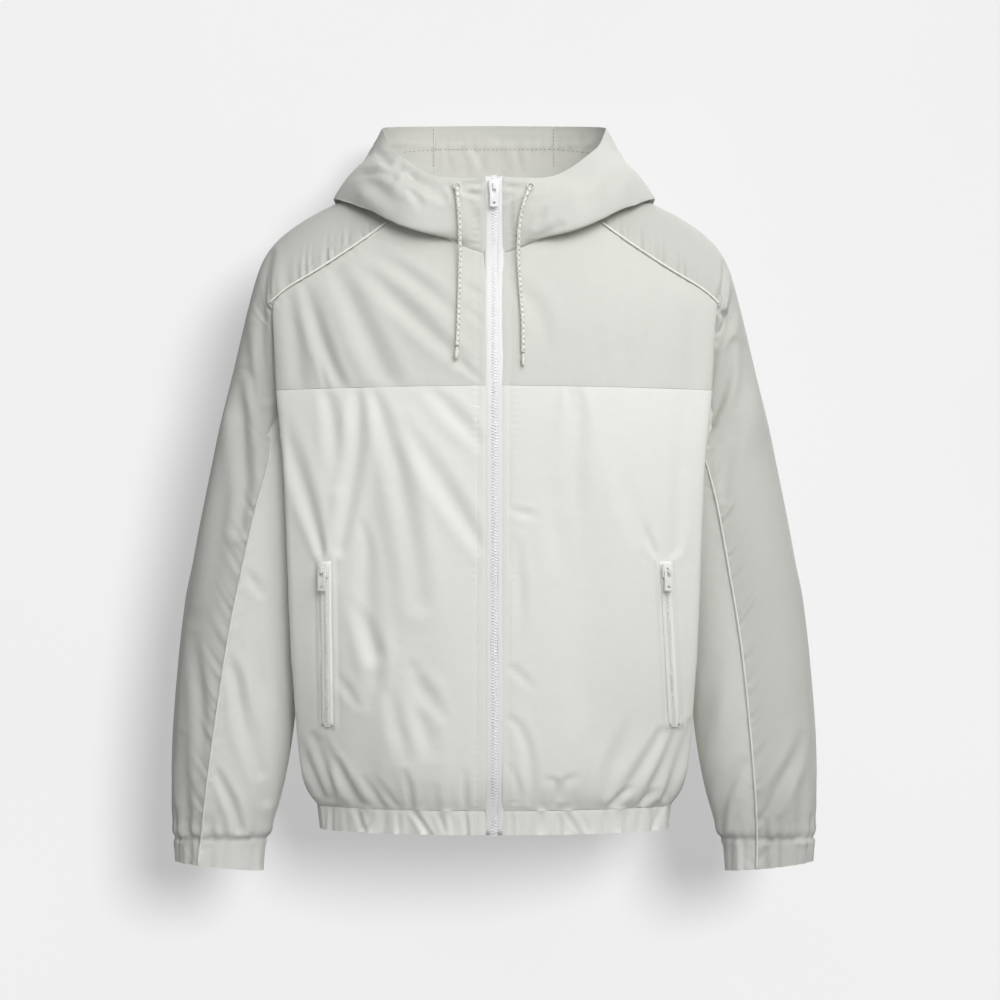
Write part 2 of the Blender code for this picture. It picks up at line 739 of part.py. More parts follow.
def pull_mesh(name):
    """A pull tab: a plate that hangs from its top bar, with a window for the bail."""
    width, thick, tall = PULL_SIZE
    plate = block(f"{name}_plate", PULL_SIZE, (0, 0, PULL_BAR - tall / 2), 0.3)
    window_width, window_tall = PULL_WINDOW
    window_z = -PULL_BAR - window_tall / 2
    window = block(f"{name}_window", (window_width, 4 * thick, window_tall), (0, 0, window_z))
    slot_width, slot_tall, slot_rise = PULL_SLOT
    slot_z = PULL_BAR - tall + slot_rise + slot_tall / 2
    slot = block(f"{name}_slot", (slot_width, 4 * thick, slot_tall), (0, 0, slot_z))
    return join_and_cut(plate, [("DIFFERENCE", window), ("DIFFERENCE", slot)])


def place_slider_and_pull(slider_name, pull_name, hinge, turn, parent):
    """A slider and its pull tab, both hung on the hinge, which is their shared origin."""
    for name, data in ((slider_name, slider_mesh(slider_name)), (pull_name, pull_mesh(pull_name))):
        data.transform(Matrix.Scale(MM, 4))
        piece = place_object(name, data, WHITE, 0.4, parent)
        piece.location = Vector(hinge) * MM
        piece.rotation_euler = (0, 0, turn)


def place_front_slider(parent):
    face = centre_front(SLIDER_TOP) + CHAIN / 2 + SEAM_GAP + SLIDER_SIZE[1]
    hinge_z = SLIDER_TOP - SLIDER_SIZE[2] / 2 + HINGE_CLEARANCE + BAIL_BAR - BAIL_LENGTH / 2
    hinge = (0, -face - HINGE_CLEARANCE, hinge_z)
    place_slider_and_pull("zip_slider", "zip_pull", hinge, 0, parent)


def place_pocket_slider(side_name, surface, parent):
    x, z = pocket_line(side_name, 0.06)
    place, normal = on_front(surface, x, z)
    flat = Vector((normal.x, normal.y, 0)).normalized()
    turn = math.atan2(flat.x, -flat.y)
    lift = POCKET_LIFT + RESTING_GAP + TAPE + CHAIN + 1.0 + SLIDER_SIZE[1] + HINGE_CLEARANCE
    names = (f"pocket_slider_{side_name}", f"pocket_pull_{side_name}")
    place_slider_and_pull(*names, place + flat * lift, turn, parent)


def place_tube(name, points, radius, colour, sides, parent):
    """A round cord along its points, with closed ends."""
    data = bpy.data.curves.new(name, "CURVE")
    data.dimensions = "3D"
    data.bevel_depth = radius * MM
    data.bevel_resolution = (sides - 4) // 2
    data.use_fill_caps = True
    spline = data.splines.new("POLY")
    spline.points.add(len(points) - 1)
    for target, point in zip(spline.points, points):
        target.co = (*(Vector(point) * MM), 1)
    return place_object(name, data, colour, 0.6, parent)


def sleeve_normal(section, around):
    step = 0.02
    along = sleeve_point(section + step, around) - sleeve_point(max(section - step, 0), around)
    near = min(max(around, step), 2 - step)
    across = sleeve_point(section, near + step) - sleeve_point(section, near - step)
    return Vector(np.cross(along, across)).normalized()


def front_normal(section):
    """The front's own direction at its seam with the sleeve."""
    row = front_row(section)
    lower = front_row(section + 0.05)
    return Vector(np.cross(lower[-1] - row[-1], row[-1] - row[-3])).normalized()


def place_piping(side_name, side, parent):
    """Corded piping on the raglan seam, and on the sleeve's front seam down to the cuff."""
    lift = PIPING_RADIUS + RESTING_GAP
    raglan_lift = lift + 0.8
    raglan = []
    for section in (0.5, 1, 1.5, 2, 2.5, 3):
        outward = (front_normal(section) + sleeve_normal(section, 0)).normalized()
        raglan.append(Vector(sleeve_point(section, 0)) + outward * raglan_lift)
    seam = []
    for section in UNDER_SECTIONS[1:]:
        around = seam_front(section, side_name)
        place = Vector(sleeve_point(section, around))
        seam.append(place + sleeve_normal(section, around) * (lift + CUFF_GATHER_DEPTH * 0.2))
    mirror = Matrix.Diagonal((side, 1, 1))
    for run, points in (("raglan", raglan), ("sleeve", seam)):
        placed = [mirror @ point for point in points]
        place_tube(f"piping_{run}_{side_name}", placed, PIPING_RADIUS, WHITE, 6, parent)


def smooth_route(points, count):
    curve = smooth_rows(points)
    return [curve(t) for t in np.linspace(0, len(points) - 1, count)]


def place_drawcord(side_name, surface, parent):
    """An eyelet near the hood's edge, the cord that hangs from it, and the cord's tip."""
    route = CORD_ROUTES[side_name]
    place, normal = on_front(surface, route[0][0], route[0][2])
    bpy.ops.mesh.primitive_torus_add(
        major_segments=14,
        minor_segments=6,
        major_radius=EYELET_RADIUS * MM,
        minor_radius=EYELET_WIRE * MM,
        location=(place + normal * (EYELET_WIRE + RESTING_GAP)) * MM,
        rotation=normal.to_track_quat("Z", "Y").to_euler(),
    )
    ring = bpy.context.object
    ring.name = f"eyelet_{side_name}"
    for collection in list(ring.users_collection):
        collection.objects.unlink(ring)
    jacket.objects.link(ring)
    ring.parent = parent
    ring.data.materials.append(finish(ring.name, CORD_GREY, 0.4))
    place_tube(f"cord_{side_name}", smooth_route(route, 22), CORD_RADIUS, CORD_GREY, 8, parent)
    end = Vector(route[-1])
    down = (end - Vector(smooth_route(route, 22)[-2])).normalized()
    tip = [end + down * SEAM_GAP, end + down * (SEAM_GAP + TIP_LENGTH)]
    place_tube(f"cord_tip_{side_name}", tip, TIP_RADIUS, WHITE, 8, parent)


def surface_of(sheet):
    return BVHTree.FromBMesh(sheet.mesh)


def new_collection(name):
    collection = bpy.data.collections.new(name)
    bpy.context.scene.collection.children.link(collection)
    return collection


for leftover in list(bpy.data.objects):
    bpy.data.objects.remove(leftover)
jacket = new_collection("hooded_windbreaker")
cutters = new_collection("cutters")

wearer = bpy.data.objects.new("worn_on_shoulders", None)
jacket.objects.link(wearer)

body = back_sheets()
for side_name, side in SIDES.items():
    body += front_sheets(side_name, side)
    body += sleeve_sheets(side_name, side)
sew(body)
hood = hood_sheets()
sew(hood)
cloth = [*body, *hood]
by_name = {sheet.name: sheet for sheet in cloth}
surfaces = {name: surface_of(by_name[name]) for name in by_name if name.startswith(("front_lower", "hood"))}

trim = front_zip_sheets()
for side_name in SIDES:
    trim += pocket_sheets(side_name, surfaces[f"front_lower_{side_name}"])
sew(trim)

for sheet in (*cloth, *trim):
    place_sheet(sheet, wearer)
place_front_slider(wearer)
for side_name, side in SIDES.items():
    place_pocket_slider(side_name, surfaces[f"front_lower_{side_name}"], wearer)
    place_piping(side_name, side, wearer)
    place_drawcord(side_name, surfaces[f"hood_{side_name}"], wearer)
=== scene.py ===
import math

import bmesh
import bpy
import numpy as np
from mathutils import Matrix, Vector, kdtree
from mathutils.bvhtree import BVHTree


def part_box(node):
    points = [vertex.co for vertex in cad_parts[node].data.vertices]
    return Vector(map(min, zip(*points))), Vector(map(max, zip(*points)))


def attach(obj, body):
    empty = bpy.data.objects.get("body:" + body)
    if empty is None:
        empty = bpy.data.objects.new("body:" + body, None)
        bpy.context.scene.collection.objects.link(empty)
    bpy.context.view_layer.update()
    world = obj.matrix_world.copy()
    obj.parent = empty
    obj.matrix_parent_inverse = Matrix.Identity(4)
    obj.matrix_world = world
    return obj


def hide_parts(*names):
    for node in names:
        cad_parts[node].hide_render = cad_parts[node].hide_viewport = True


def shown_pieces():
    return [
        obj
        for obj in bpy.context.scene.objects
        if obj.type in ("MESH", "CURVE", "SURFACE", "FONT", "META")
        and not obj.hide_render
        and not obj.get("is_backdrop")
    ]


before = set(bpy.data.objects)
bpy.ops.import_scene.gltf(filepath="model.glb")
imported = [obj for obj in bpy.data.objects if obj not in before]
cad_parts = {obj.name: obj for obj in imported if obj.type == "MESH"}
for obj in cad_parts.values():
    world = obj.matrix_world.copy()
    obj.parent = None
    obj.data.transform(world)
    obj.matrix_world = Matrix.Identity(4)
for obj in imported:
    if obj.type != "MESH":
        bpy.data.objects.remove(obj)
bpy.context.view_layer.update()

# Every size here is in millimetres unless it says metres; the frame is in metres.
MM = 0.001

# Front yokes and lower fronts: four panels of thin plain-weave nylon shell cloth, grey above and
# off-white below. Each is cut to shape, sewn at its edges with a lockstitch and left unlined, so
# it hangs from the raglan seam in soft diagonal folds and is drawn into puckers at each seam.
FRONT = Vector((0, -1, 0))
PHOTO_CENTRE = (494, 500)
CAMERA_HEIGHT = -296
FRONT_SCALE = 1.015


def photo_folds(scale, relief, folds):
    """Folds that were placed on the photograph, turned into the cloth's own millimetres. A point gives
    photo column and row, half width and depth. Scale is millimetres a pixel at that distance from the
    camera, and relief deepens all the folds of a panel."""
    column, row = PHOTO_CENTRE
    return tuple(
        tuple(
            (
                round((x - column) * scale), round(CAMERA_HEIGHT + (row - y) * scale),
                width, round(depth * relief, 1),
            )
            for x, y, width, depth in fold
        )
        for fold in folds
    )


LEFT_YOKE_FOLDS = photo_folds(FRONT_SCALE, relief=1.0, folds=(
    ((361, 267, 7, 0.5), (395, 300, 8, 3), (430, 333, 8, 3), (460, 359, 7, 1.5)),
    ((370, 252, 7, 0.5), (405, 272, 7, 2.4), (436, 296, 7, 2.2), (458, 313, 6, 0.8)),
    ((327, 258, 8, 0.6), (350, 300, 10, 3.4), (368, 338, 11, 4), (388, 378, 11, 3)),
    ((303, 283, 6, 0.6), (313, 315, 7, 2.6), (324, 347, 7, 3.2), (340, 384, 6, 2.4)),
    ((286, 286, 6, 0.5), (293, 330, 8, 1.8), (300, 388, 8, 1.6)),
    ((320, 364, 3, 0.4), (327, 388, 3, 1.6)),
    ((461, 283, 4, 0.3), (476, 292, 4, 1.2), (484, 297, 4, 0.8)),
    ((462, 306, 4, 0.3), (474, 316, 4, 1.1), (483, 324, 4, 0.6)),
    ((458, 362, 4, 0.8), (470, 372, 4, 1.4), (482, 381, 4, 0.8)),
))
LEFT_LOWER_FOLDS = photo_folds(FRONT_SCALE, relief=0.85, folds=(
    ((282, 420, 7, 0.5), (296, 465, 8, 2.6), (310, 510, 7, 3.4), (321, 550, 4, 3)),
    ((358, 390, 6, 2.2), (357, 430, 8, 3.2), (352, 478, 8, 3.6), (340, 545, 6, 2.4)),
    ((326, 390, 6, 1.8), (334, 435, 8, 2.6), (336, 480, 8, 1)),
    ((373, 393, 6, 1.4), (390, 440, 9, 2.8), (404, 500, 10, 3.4), (420, 598, 10, 1.6)),
    ((404, 428, 7, 0.6), (434, 470, 9, 2.6), (459, 511, 9, 3.2), (481, 545, 7, 1.6)),
    ((434, 393, 7, 1.2), (458, 418, 8, 2.4), (481, 443, 7, 1.2)),
    ((360, 523, 4, 0.4), (367, 550, 6, 1.8), (366, 590, 9, 2.4), (374, 650, 9, 2.6)),
    ((352, 605, 6, 0.6), (370, 640, 8, 2.2), (376, 675, 8, 2.4), (368, 702, 7, 0.8)),
    ((413, 668, 6, 1), (427, 694, 8, 2.8), (441, 714, 6, 1)),
    ((391, 696, 6, 0.8), (399, 730, 8, 2.6), (405, 756, 7, 1)),
    ((416, 688, 7, 0.8), (421, 722, 9, 2.4), (433, 748, 8, 0.8)),
    ((313, 738, 4, 1.4), (322, 762, 5, 2.6), (330, 800, 4, 3.2)),
    ((323, 742, 4, 1.2), (337, 772, 5, 2.6), (355, 805, 4, 2.8)),
    ((338, 764, 4, 0.8), (350, 788, 5, 2.2), (363, 807, 4, 2.2)),
    ((364, 781, 4, 0.6), (374, 794, 4, 2), (383, 807, 3, 2.4)),
    ((372, 779, 4, 0.4), (384, 792, 4, 1.6), (395, 806, 3, 2)),
    ((404, 771, 3, 0.8), (409, 790, 3.5, 3), (410, 808, 3, 3.6)),
    ((464, 772, 3, 0.8), (464, 790, 3.5, 2.6), (464, 808, 3, 3.2)),
    ((337, 676, 4, 0.4), (347, 690, 5, 1.8), (357, 706, 4, 0.6)),
    ((297, 742, 4, 0.5), (308, 770, 5, 2.4), (322, 800, 4, 2.6)),
    ((435, 788, 4, 0.5), (437, 808, 3, 1.8)),
))
RIGHT_YOKE_FOLDS = photo_folds(FRONT_SCALE, relief=1.3, folds=(
    ((510, 279, 6, 0.4), (530, 300, 9, 1.4), (542, 325, 9, 1.2), (541, 345, 8, 0.3)),
    ((690, 318, 8, 0.6), (694, 350, 9, 1.4), (696, 388, 9, 1)),
    ((626, 310, 9, 0.3), (622, 350, 10, 0.9), (628, 385, 9, 0.4)),
    ((597, 335, 8, 0.3), (603, 370, 9, 0.8), (601, 388, 9, 0.4)),
    ((658, 300, 10, 0.3), (650, 340, 11, 0.9), (640, 385, 9, 0.4)),
))
RIGHT_LOWER_FOLDS = photo_folds(FRONT_SCALE, relief=1.05, folds=(
    ((574, 387, 5, 1.6), (577, 430, 9, 1.8), (574, 490, 10, 1.2), (572, 530, 9, 0.3)),
    ((566, 384, 3, 1), (569, 400, 4, 0.8), (571, 412, 4, 0.2)),
    ((557, 490, 8, 0.4), (556, 530, 9, 1.4), (556, 560, 9, 0.4)),
    ((616, 450, 8, 0.3), (628, 500, 9, 1.1), (638, 535, 8, 0.6)),
    ((682, 400, 7, 0.4), (680, 460, 8, 1.4), (678, 520, 7, 1.8), (675, 552, 4, 1.4)),
    ((643, 524, 3, 0.4), (649, 540, 4, 1.8), (655, 553, 3, 1.6)),
    ((514, 511, 4, 0.8), (526, 514, 4, 1.2), (538, 516, 4, 0.2)),
    ((516, 545, 5, 0.4), (519, 580, 6, 1.4), (520, 620, 6, 1), (518, 650, 5, 0.3)),
    ((513, 668, 4, 1), (523, 677, 4, 1.4), (533, 688, 4, 0.3)),
    ((513, 720, 4, 1), (526, 742, 5, 1.8), (530, 775, 5, 1.6), (529, 800, 4, 1)),
    ((511, 766, 3, 0.8), (519, 790, 4, 1.6), (515, 804, 4, 0.8)),
    ((546, 779, 3, 0.3), (556, 783, 3.5, 1.8), (556, 795, 3.5, 2), (554, 808, 3, 2)),
    ((576, 777, 4, 0.3), (566, 781, 4, 1.6), (561, 795, 4, 1)),
    ((632, 722, 7, 0.4), (618, 756, 9, 2), (607, 788, 7, 0.8)),
    ((661, 735, 5, 1.4), (640, 772, 7, 2.4), (614, 806, 5, 1.8)),
    ((677, 734, 5, 1.6), (660, 778, 6, 3), (642, 808, 4, 2.6)),
    ((692, 728, 5, 1.4), (680, 762, 6, 2.6), (668, 800, 4, 2.4)),
    ((633, 790, 3, 0.4), (622, 797, 3.5, 2.2), (612, 807, 3, 2.4)),
    ((660, 794, 3, 0.4), (651, 800, 3.5, 2), (643, 808, 3, 2.2)),
    ((590, 640, 12, 0.3), (585, 690, 13, 1.2), (592, 740, 11, 0.4)),
    ((540, 794, 3, 0.4), (541, 808, 3, 1.8)),
    ((576, 796, 3, 0.4), (577, 808, 3, 1.6)),
    ((600, 795, 3, 0.5), (599, 808, 3, 1.8)),
))


def linear(hex_colour):
    """An sRGB hex colour as the linear values that a shader takes."""
    parts = [int(hex_colour[i : i + 2], 16) / 255 for i in (1, 3, 5)]
    return (*(c / 12.92 if c <= 0.04045 else ((c + 0.055) / 1.055) ** 2.4 for c in parts), 1.0)


def add_node(tree, kind, inputs=None, **settings):
    """Adds a node with its settings; each input is a value or another node's output."""
    made = tree.nodes.new(kind)
    for name, value in settings.items():
        setattr(made, name, value)
    for name, value in (inputs or {}).items():
        if isinstance(value, bpy.types.NodeSocket):
            tree.links.new(value, made.inputs[name])
        else:
            made.inputs[name].default_value = value
    return made


def new_material(name):
    """An empty node material, and its output."""
    made = bpy.data.materials.new(name)
    made.use_nodes = True
    made.node_tree.nodes.clear()
    return made, made.node_tree, add_node(made.node_tree, "ShaderNodeOutputMaterial")


def nylon_shell(name, face, shade):
    """Plain-weave nylon, calendered on the back. It gives the eye a matt face with a faint sheen at
    a slant, a fine square grain, and a slight crumple that never lies quite flat. Threads are
    0.25 mm apart, too fine to show, so the grain is drawn at 1.1 mm."""
    made, tree, output = new_material(name)
    cut = add_node(tree, "ShaderNodeUVMap", uv_map="cut").outputs["UV"]
    place = add_node(tree, "ShaderNodeTexCoord").outputs["Object"]
    grain = 2 * math.pi / 20 / (1.1 * MM)
    warp = add_node(tree, "ShaderNodeTexWave", {
        "Vector": cut, "Scale": grain, "Distortion": 0.6}, bands_direction="X")
    weft = add_node(tree, "ShaderNodeTexWave", {
        "Vector": cut, "Scale": grain, "Distortion": 0.6}, bands_direction="Y")
    weave = add_node(tree, "ShaderNodeMath", {
        0: warp.outputs["Fac"], 1: weft.outputs["Fac"]}, operation="ADD")
    slub = add_node(tree, "ShaderNodeTexNoise", {
        "Vector": cut, "Scale": 1 / (9 * MM), "Detail": 4.0, "Roughness": 0.65})
    cloud = add_node(tree, "ShaderNodeTexNoise", {"Vector": place, "Scale": 1 / (70 * MM), "Detail": 2.0})
    crumple = add_node(tree, "ShaderNodeTexNoise", {
        "Vector": place, "Scale": 1 / (26 * MM), "Detail": 3.0, "Roughness": 0.5})
    tone = add_node(tree, "ShaderNodeMix", {
        "Factor": cloud.outputs["Fac"], "A": 0.25, "B": 0.75}, data_type="FLOAT")
    fleck = add_node(tree, "ShaderNodeMath", {
        0: slub.outputs["Fac"], 1: tone.outputs[0]}, operation="MULTIPLY")
    colour = add_node(tree, "ShaderNodeMix", {6: linear(face), 7: linear(shade)}, data_type="RGBA")
    tree.links.new(fleck.outputs[0], colour.inputs[0])
    soft = add_node(tree, "ShaderNodeBump", {
        "Height": crumple.outputs["Fac"], "Strength": 0.5, "Distance": 1.4 * MM})
    threads = add_node(tree, "ShaderNodeBump", {
        "Height": weave.outputs[0], "Strength": 0.16, "Distance": 0.1 * MM, "Normal": soft.outputs["Normal"]})
    rough = add_node(tree, "ShaderNodeMapRange", {
        "Value": slub.outputs["Fac"], "To Min": 0.62, "To Max": 0.78})
    shader = add_node(tree, "ShaderNodeBsdfPrincipled", {
        "Base Color": colour.outputs[2], "Roughness": rough.outputs[0], "IOR": 1.53,
        "Specular IOR Level": 0.35,
        "Sheen Weight": 0.12, "Sheen Roughness": 0.45, "Normal": threads.outputs["Normal"]})
    tree.links.new(shader.outputs[0], output.inputs["Surface"])
    return made


grey_shell = nylon_shell("nylon_shell_grey", "#d4d5ce", "#c9cac3")
white_shell = nylon_shell("nylon_shell_off_white", "#ebebe6", "#e1e1db")
coated_back = nylon_shell("nylon_coated_back", "#eeeee9", "#e5e5df")


def outer_layer(node, towards):
    """The outer skin of a cloth solid, as a mesh of quads with its corners kept. Faces on the cut edge
    see no far skin close behind them, so they are left out; the skin joins the outermost face."""
    mesh = bmesh.new()
    mesh.from_mesh(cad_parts[node].data)
    bmesh.ops.remove_doubles(mesh, verts=mesh.verts, dist=0.01 * MM)
    mesh.normal_update()
    tree = BVHTree.FromBMesh(mesh)
    cut_edge = set()
    for face in mesh.faces:
        start = face.calc_center_median() - face.normal * 0.02 * MM
        if tree.ray_cast(start, -face.normal, 2.6 * MM)[0] is None:
            cut_edge.add(face)
    facing = [face for face in mesh.faces if face.normal.dot(towards) > 0.7 and face not in cut_edge]
    skin = {max(facing, key=lambda face: face.calc_center_median().dot(towards))}
    reached = list(skin)
    while reached:
        face = reached.pop()
        for edge in face.edges:
            turn = edge.calc_face_angle()
            small = min(near.calc_area() for near in edge.link_faces) < 100 * MM**2
            for near in edge.link_faces:
                hidden = near in cut_edge and turn > math.radians(35)
                if near not in skin and not hidden and not (small and turn > math.radians(75)):
                    skin.add(near)
                    if near not in cut_edge:
                        reached.append(near)
    bmesh.ops.delete(mesh, geom=[face for face in mesh.faces if face not in skin], context="FACES")
    bmesh.ops.join_triangles(
        mesh, faces=mesh.faces, angle_face_threshold=math.radians(40), angle_shape_threshold=math.radians(60)
    )
    corner = mesh.verts.layers.float.new("crease_vert")
    for vert in mesh.verts:
        if node.startswith("hood") and vert.co.y > 20 * MM:
            continue
        rim = [edge for edge in vert.link_edges if edge.is_boundary]
        ways = [(edge.other_vert(vert).co - vert.co).normalized() for edge in rim]
        normals = [face.normal for face in vert.link_faces]
        level = all(one.dot(normals[0]) > 0.7 for one in normals)
        if len(ways) == 2 and ways[0].dot(ways[1]) > -0.8 and level:
            vert[corner] = 1.0
    return mesh


def place_piece(name, mesh, material):
    """A new object at the origin, from a finished bmesh."""
    data = bpy.data.meshes.new(name)
    mesh.to_mesh(data)
    mesh.free()
    piece = bpy.data.objects.new(name, data)
    bpy.context.scene.collection.objects.link(piece)
    data.materials.clear()
    data.materials.append(material)
    data.shade_smooth()
    return piece


def lay_flat(piece):
    """Gives a panel its UV map, the flat pattern that it is cut to, in metres."""
    for other in bpy.context.selected_objects:
        other.select_set(False)
    bpy.context.view_layer.objects.active = piece
    piece.select_set(True)
    piece.data.uv_layers.new(name="cut")
    bpy.ops.object.mode_set(mode="EDIT")
    bpy.ops.mesh.select_all(action="SELECT")
    bpy.ops.uv.unwrap(method="MINIMUM_STRETCH", margin=0)
    bpy.ops.object.mode_set(mode="OBJECT")
    piece.select_set(False)
    corners = piece.data.uv_layers["cut"].uv
    flat = np.empty(len(corners) * 2, np.float32)
    corners.foreach_get("vector", flat)
    flat = flat.reshape(-1, 2).astype(float)
    covered = 0.0
    for face in piece.data.polygons:
        ring = flat[face.loop_start : face.loop_start + face.loop_total]
        following = np.roll(ring, -1, axis=0)
        covered += abs(np.sum(ring[:, 0] * following[:, 1] - ring[:, 1] * following[:, 0])) / 2
    flat *= math.sqrt(sum(face.area for face in piece.data.polygons) / covered)
    heights = np.array([piece.data.vertices[corner.vertex_index].co.z for corner in piece.data.loops])
    upright = np.linalg.lstsq(flat - flat.mean(0), heights - heights.mean(), rcond=None)[0]
    upright /= np.linalg.norm(upright)
    flat = flat @ np.array([[upright[1], upright[0]], [-upright[0], upright[1]]])
    flat -= flat.min(0)
    corners.foreach_set("vector", flat.astype(np.float32).ravel())


def refine(piece, levels):
    """Applies a subdivision surface, which keeps the corners of the cut."""
    smooth = piece.modifiers.new("drape", "SUBSURF")
    smooth.levels = smooth.render_levels = levels
    smooth.boundary_smooth = "PRESERVE_CORNERS"
    graph = bpy.context.evaluated_depsgraph_get()
    coarse = piece.data
    piece.data = bpy.data.meshes.new_from_object(piece.evaluated_get(graph))
    piece.data.name = piece.name
    piece.modifiers.clear()
    bpy.data.meshes.remove(coarse)


def even_out(piece, longest):
    """Cuts the long edges of a panel, so that a crease finds points enough either way."""
    mesh = bmesh.new()
    mesh.from_mesh(piece.data)
    for _ in range(3):
        long_edges = [edge for edge in mesh.edges if edge.calc_length() > longest * MM]
        if long_edges:
            bmesh.ops.subdivide_edges(
                mesh, edges=long_edges, cuts=1, smooth=1.0, smooth_falloff="LINEAR", use_grid_fill=True)
    mesh.to_mesh(piece.data)
    mesh.free()


def fold_heights(across, up, fold):
    """How far a fold lifts the cloth at each point. Its rows give place, half width and depth."""
    rows = np.array(fold, float)
    steps = np.linspace(0, 1, len(rows))
    fine = np.linspace(0, 1, 14 * (len(rows) - 1))
    bend = min(len(rows) - 1, 3)
    line = np.array([np.polyval(np.polyfit(steps, rows[:, k], bend), fine) for k in range(2)])
    width, depth = (np.interp(fine, steps, rows[:, k]) for k in (2, 3))
    lift = np.zeros(len(across))
    reach = 4 * width.max()
    near = np.flatnonzero(
        (across > line[0].min() - reach) & (across < line[0].max() + reach)
        & (up > line[1].min() - reach) & (up < line[1].max() + reach)
    )
    closest = np.hypot(across[near, None] - line[0], up[near, None] - line[1]).argmin(1)
    offset = np.array([across[near] - line[0][closest], up[near] - line[1][closest]])
    course = np.gradient(line, axis=1)[:, closest]
    half = np.hypot(*course) / 2
    course /= 2 * half
    beside = np.clip((offset * course).sum(0), -half, half)
    share = np.hypot(*(offset - course * beside)) / width[closest]
    trough = np.exp(-(share**2))
    banks = 0.42 * np.exp(-(((share - 1.8) / 0.9) ** 2))
    lift[near] = depth[closest] * (banks - trough)
    return lift


def raise_cloth(piece, lifts, spread):
    """Moves each point of a panel along its own normal, and its cut edge outwards, by millimetres."""
    mesh = bmesh.new()
    mesh.from_mesh(piece.data)
    mesh.verts.ensure_lookup_table()
    ways = {}
    for vert in mesh.verts:
        if vert.is_boundary:
            way = sum((vert.co - face.calc_center_median() for face in vert.link_faces), Vector())
            ways[vert.index] = way.normalized() * (spread * MM)
    for vert, lift in zip(mesh.verts, lifts):
        vert.co += vert.normal * (float(lift) * MM)
    for number, way in ways.items():
        mesh.verts[number].co += way
    for edge in mesh.edges:
        edge.smooth = not edge.is_boundary
    mesh.to_mesh(piece.data)
    mesh.free()


def points_of(piece):
    """Places in millimetres, and normals, of a panel's points."""
    place = np.array([vert.co for vert in piece.data.vertices]) / MM
    return place, np.array([vert.normal for vert in piece.data.vertices])


def folds_facing(place, normal, folds, view):
    """The lift from folds that are laid out as seen from one side: front, back, left or right."""
    sight, across = {"front": (-normal[:, 1], place[:, 0]), "back": (normal[:, 1], place[:, 0]),
                     "left": (-normal[:, 0], place[:, 1]), "right": (normal[:, 0], place[:, 1])}[view]
    weight = np.clip((sight - 0.1) / 0.4, 0, 1)
    weight = weight * weight * (3 - 2 * weight)
    return weight * sum(fold_heights(across, place[:, 2], fold) for fold in folds)


def distance_to(place, line):
    """How far each place is from the nearest point of a line, in millimetres."""
    tree = kdtree.KDTree(len(line))
    for number, point in enumerate(line):
        tree.insert(point, number)
    tree.balance()
    return np.array([tree.find(point)[2] for point in place])


def seam_puckers(place, seam, pitch, reach, depth, slant=0.0):
    """Uneven small puckers where a seam's thread draws the cloth in. They climb away from the seam
    by their slant."""
    away = distance_to(place, seam)
    course = np.linalg.svd(seam - seam.mean(0), full_matrices=False)[2][0]
    along = place @ (course * np.sign(course[2])) - slant * away
    turn = 2 * np.pi * along / pitch
    wave = np.sin(turn + 1.9 * np.sin(turn / 3.7) + 0.7 * np.sin(turn / 1.9 + 2))
    uneven = 0.55 + 0.45 * np.sin(turn / 2.3 + 1.0)
    return depth * uneven * wave * np.exp(-((away / reach) ** 2))


def border_of(piece):
    """Points along the cut edge of a panel, in millimetres."""
    mesh = bmesh.new()
    mesh.from_mesh(piece.data)
    rim = np.array([vert.co for vert in mesh.verts if vert.is_boundary]) / MM
    mesh.free()
    return rim


shell_pieces = {}


def cut_panel(node, towards, longest, levels, cloth):
    """One cloth panel on the form of its solid, smooth and not yet creased."""
    piece = place_piece(f"{node}_cloth", outer_layer(node, towards), cloth)
    lay_flat(piece)
    refine(piece, 1)
    even_out(piece, longest)
    refine(piece, levels)
    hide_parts(node)
    shell_pieces[node] = piece
    return piece


CLOTH = 0.7
FREE_EDGE = -630


def finish_panel(piece, folds, puckers=0.0, spread=0.0):
    """Creases a panel, gives the cloth its thickness inwards, and hangs it on the jacket. Folds die
    away at a sewn edge, which sinks a little; the lowest edges are free."""
    rim = border_of(piece)
    away = distance_to(points_of(piece)[0], rim[rim[:, 2] > FREE_EDGE])
    lifts = folds * (1 - 0.7 * np.exp(-((away / 6) ** 2))) + puckers - 0.3 * np.exp(-((away / 2) ** 2))
    raise_cloth(piece, lifts, spread)
    ply = piece.modifiers.new("cloth", "SOLIDIFY")
    ply.thickness, ply.offset = CLOTH * MM, -1.0
    piece.data.materials.append(coated_back)
    ply.material_offset = 1
    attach(piece, "jacket")


def piping_line(node):
    """Points along a piped seam, in millimetres, from its solid."""
    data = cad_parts[node].data
    corners = np.array([vert.co for vert in data.vertices]) / MM
    ends = np.array([edge.vertices[:] for edge in data.edges])
    start, run = corners[ends[:, 0]], corners[ends[:, 1]] - corners[ends[:, 0]]
    return np.vstack([start + run * share for share in np.linspace(0, 1, 16)])


STITCH_LINES = {"left": -15.6, "right": 17.0}


def placket(place, side):
    """The facing behind the zip: a sunk line where it is stitched down, and the draw of each stitch."""
    line = STITCH_LINES[side]
    off = place[:, 0] - line
    band = np.exp(-(((off + math.copysign(3.5, -line)) / 4) ** 2))
    return -0.55 * np.exp(-((off / 1.9) ** 2)) + 0.28 * band * np.sin(2 * np.pi * place[:, 2] / 6.6)


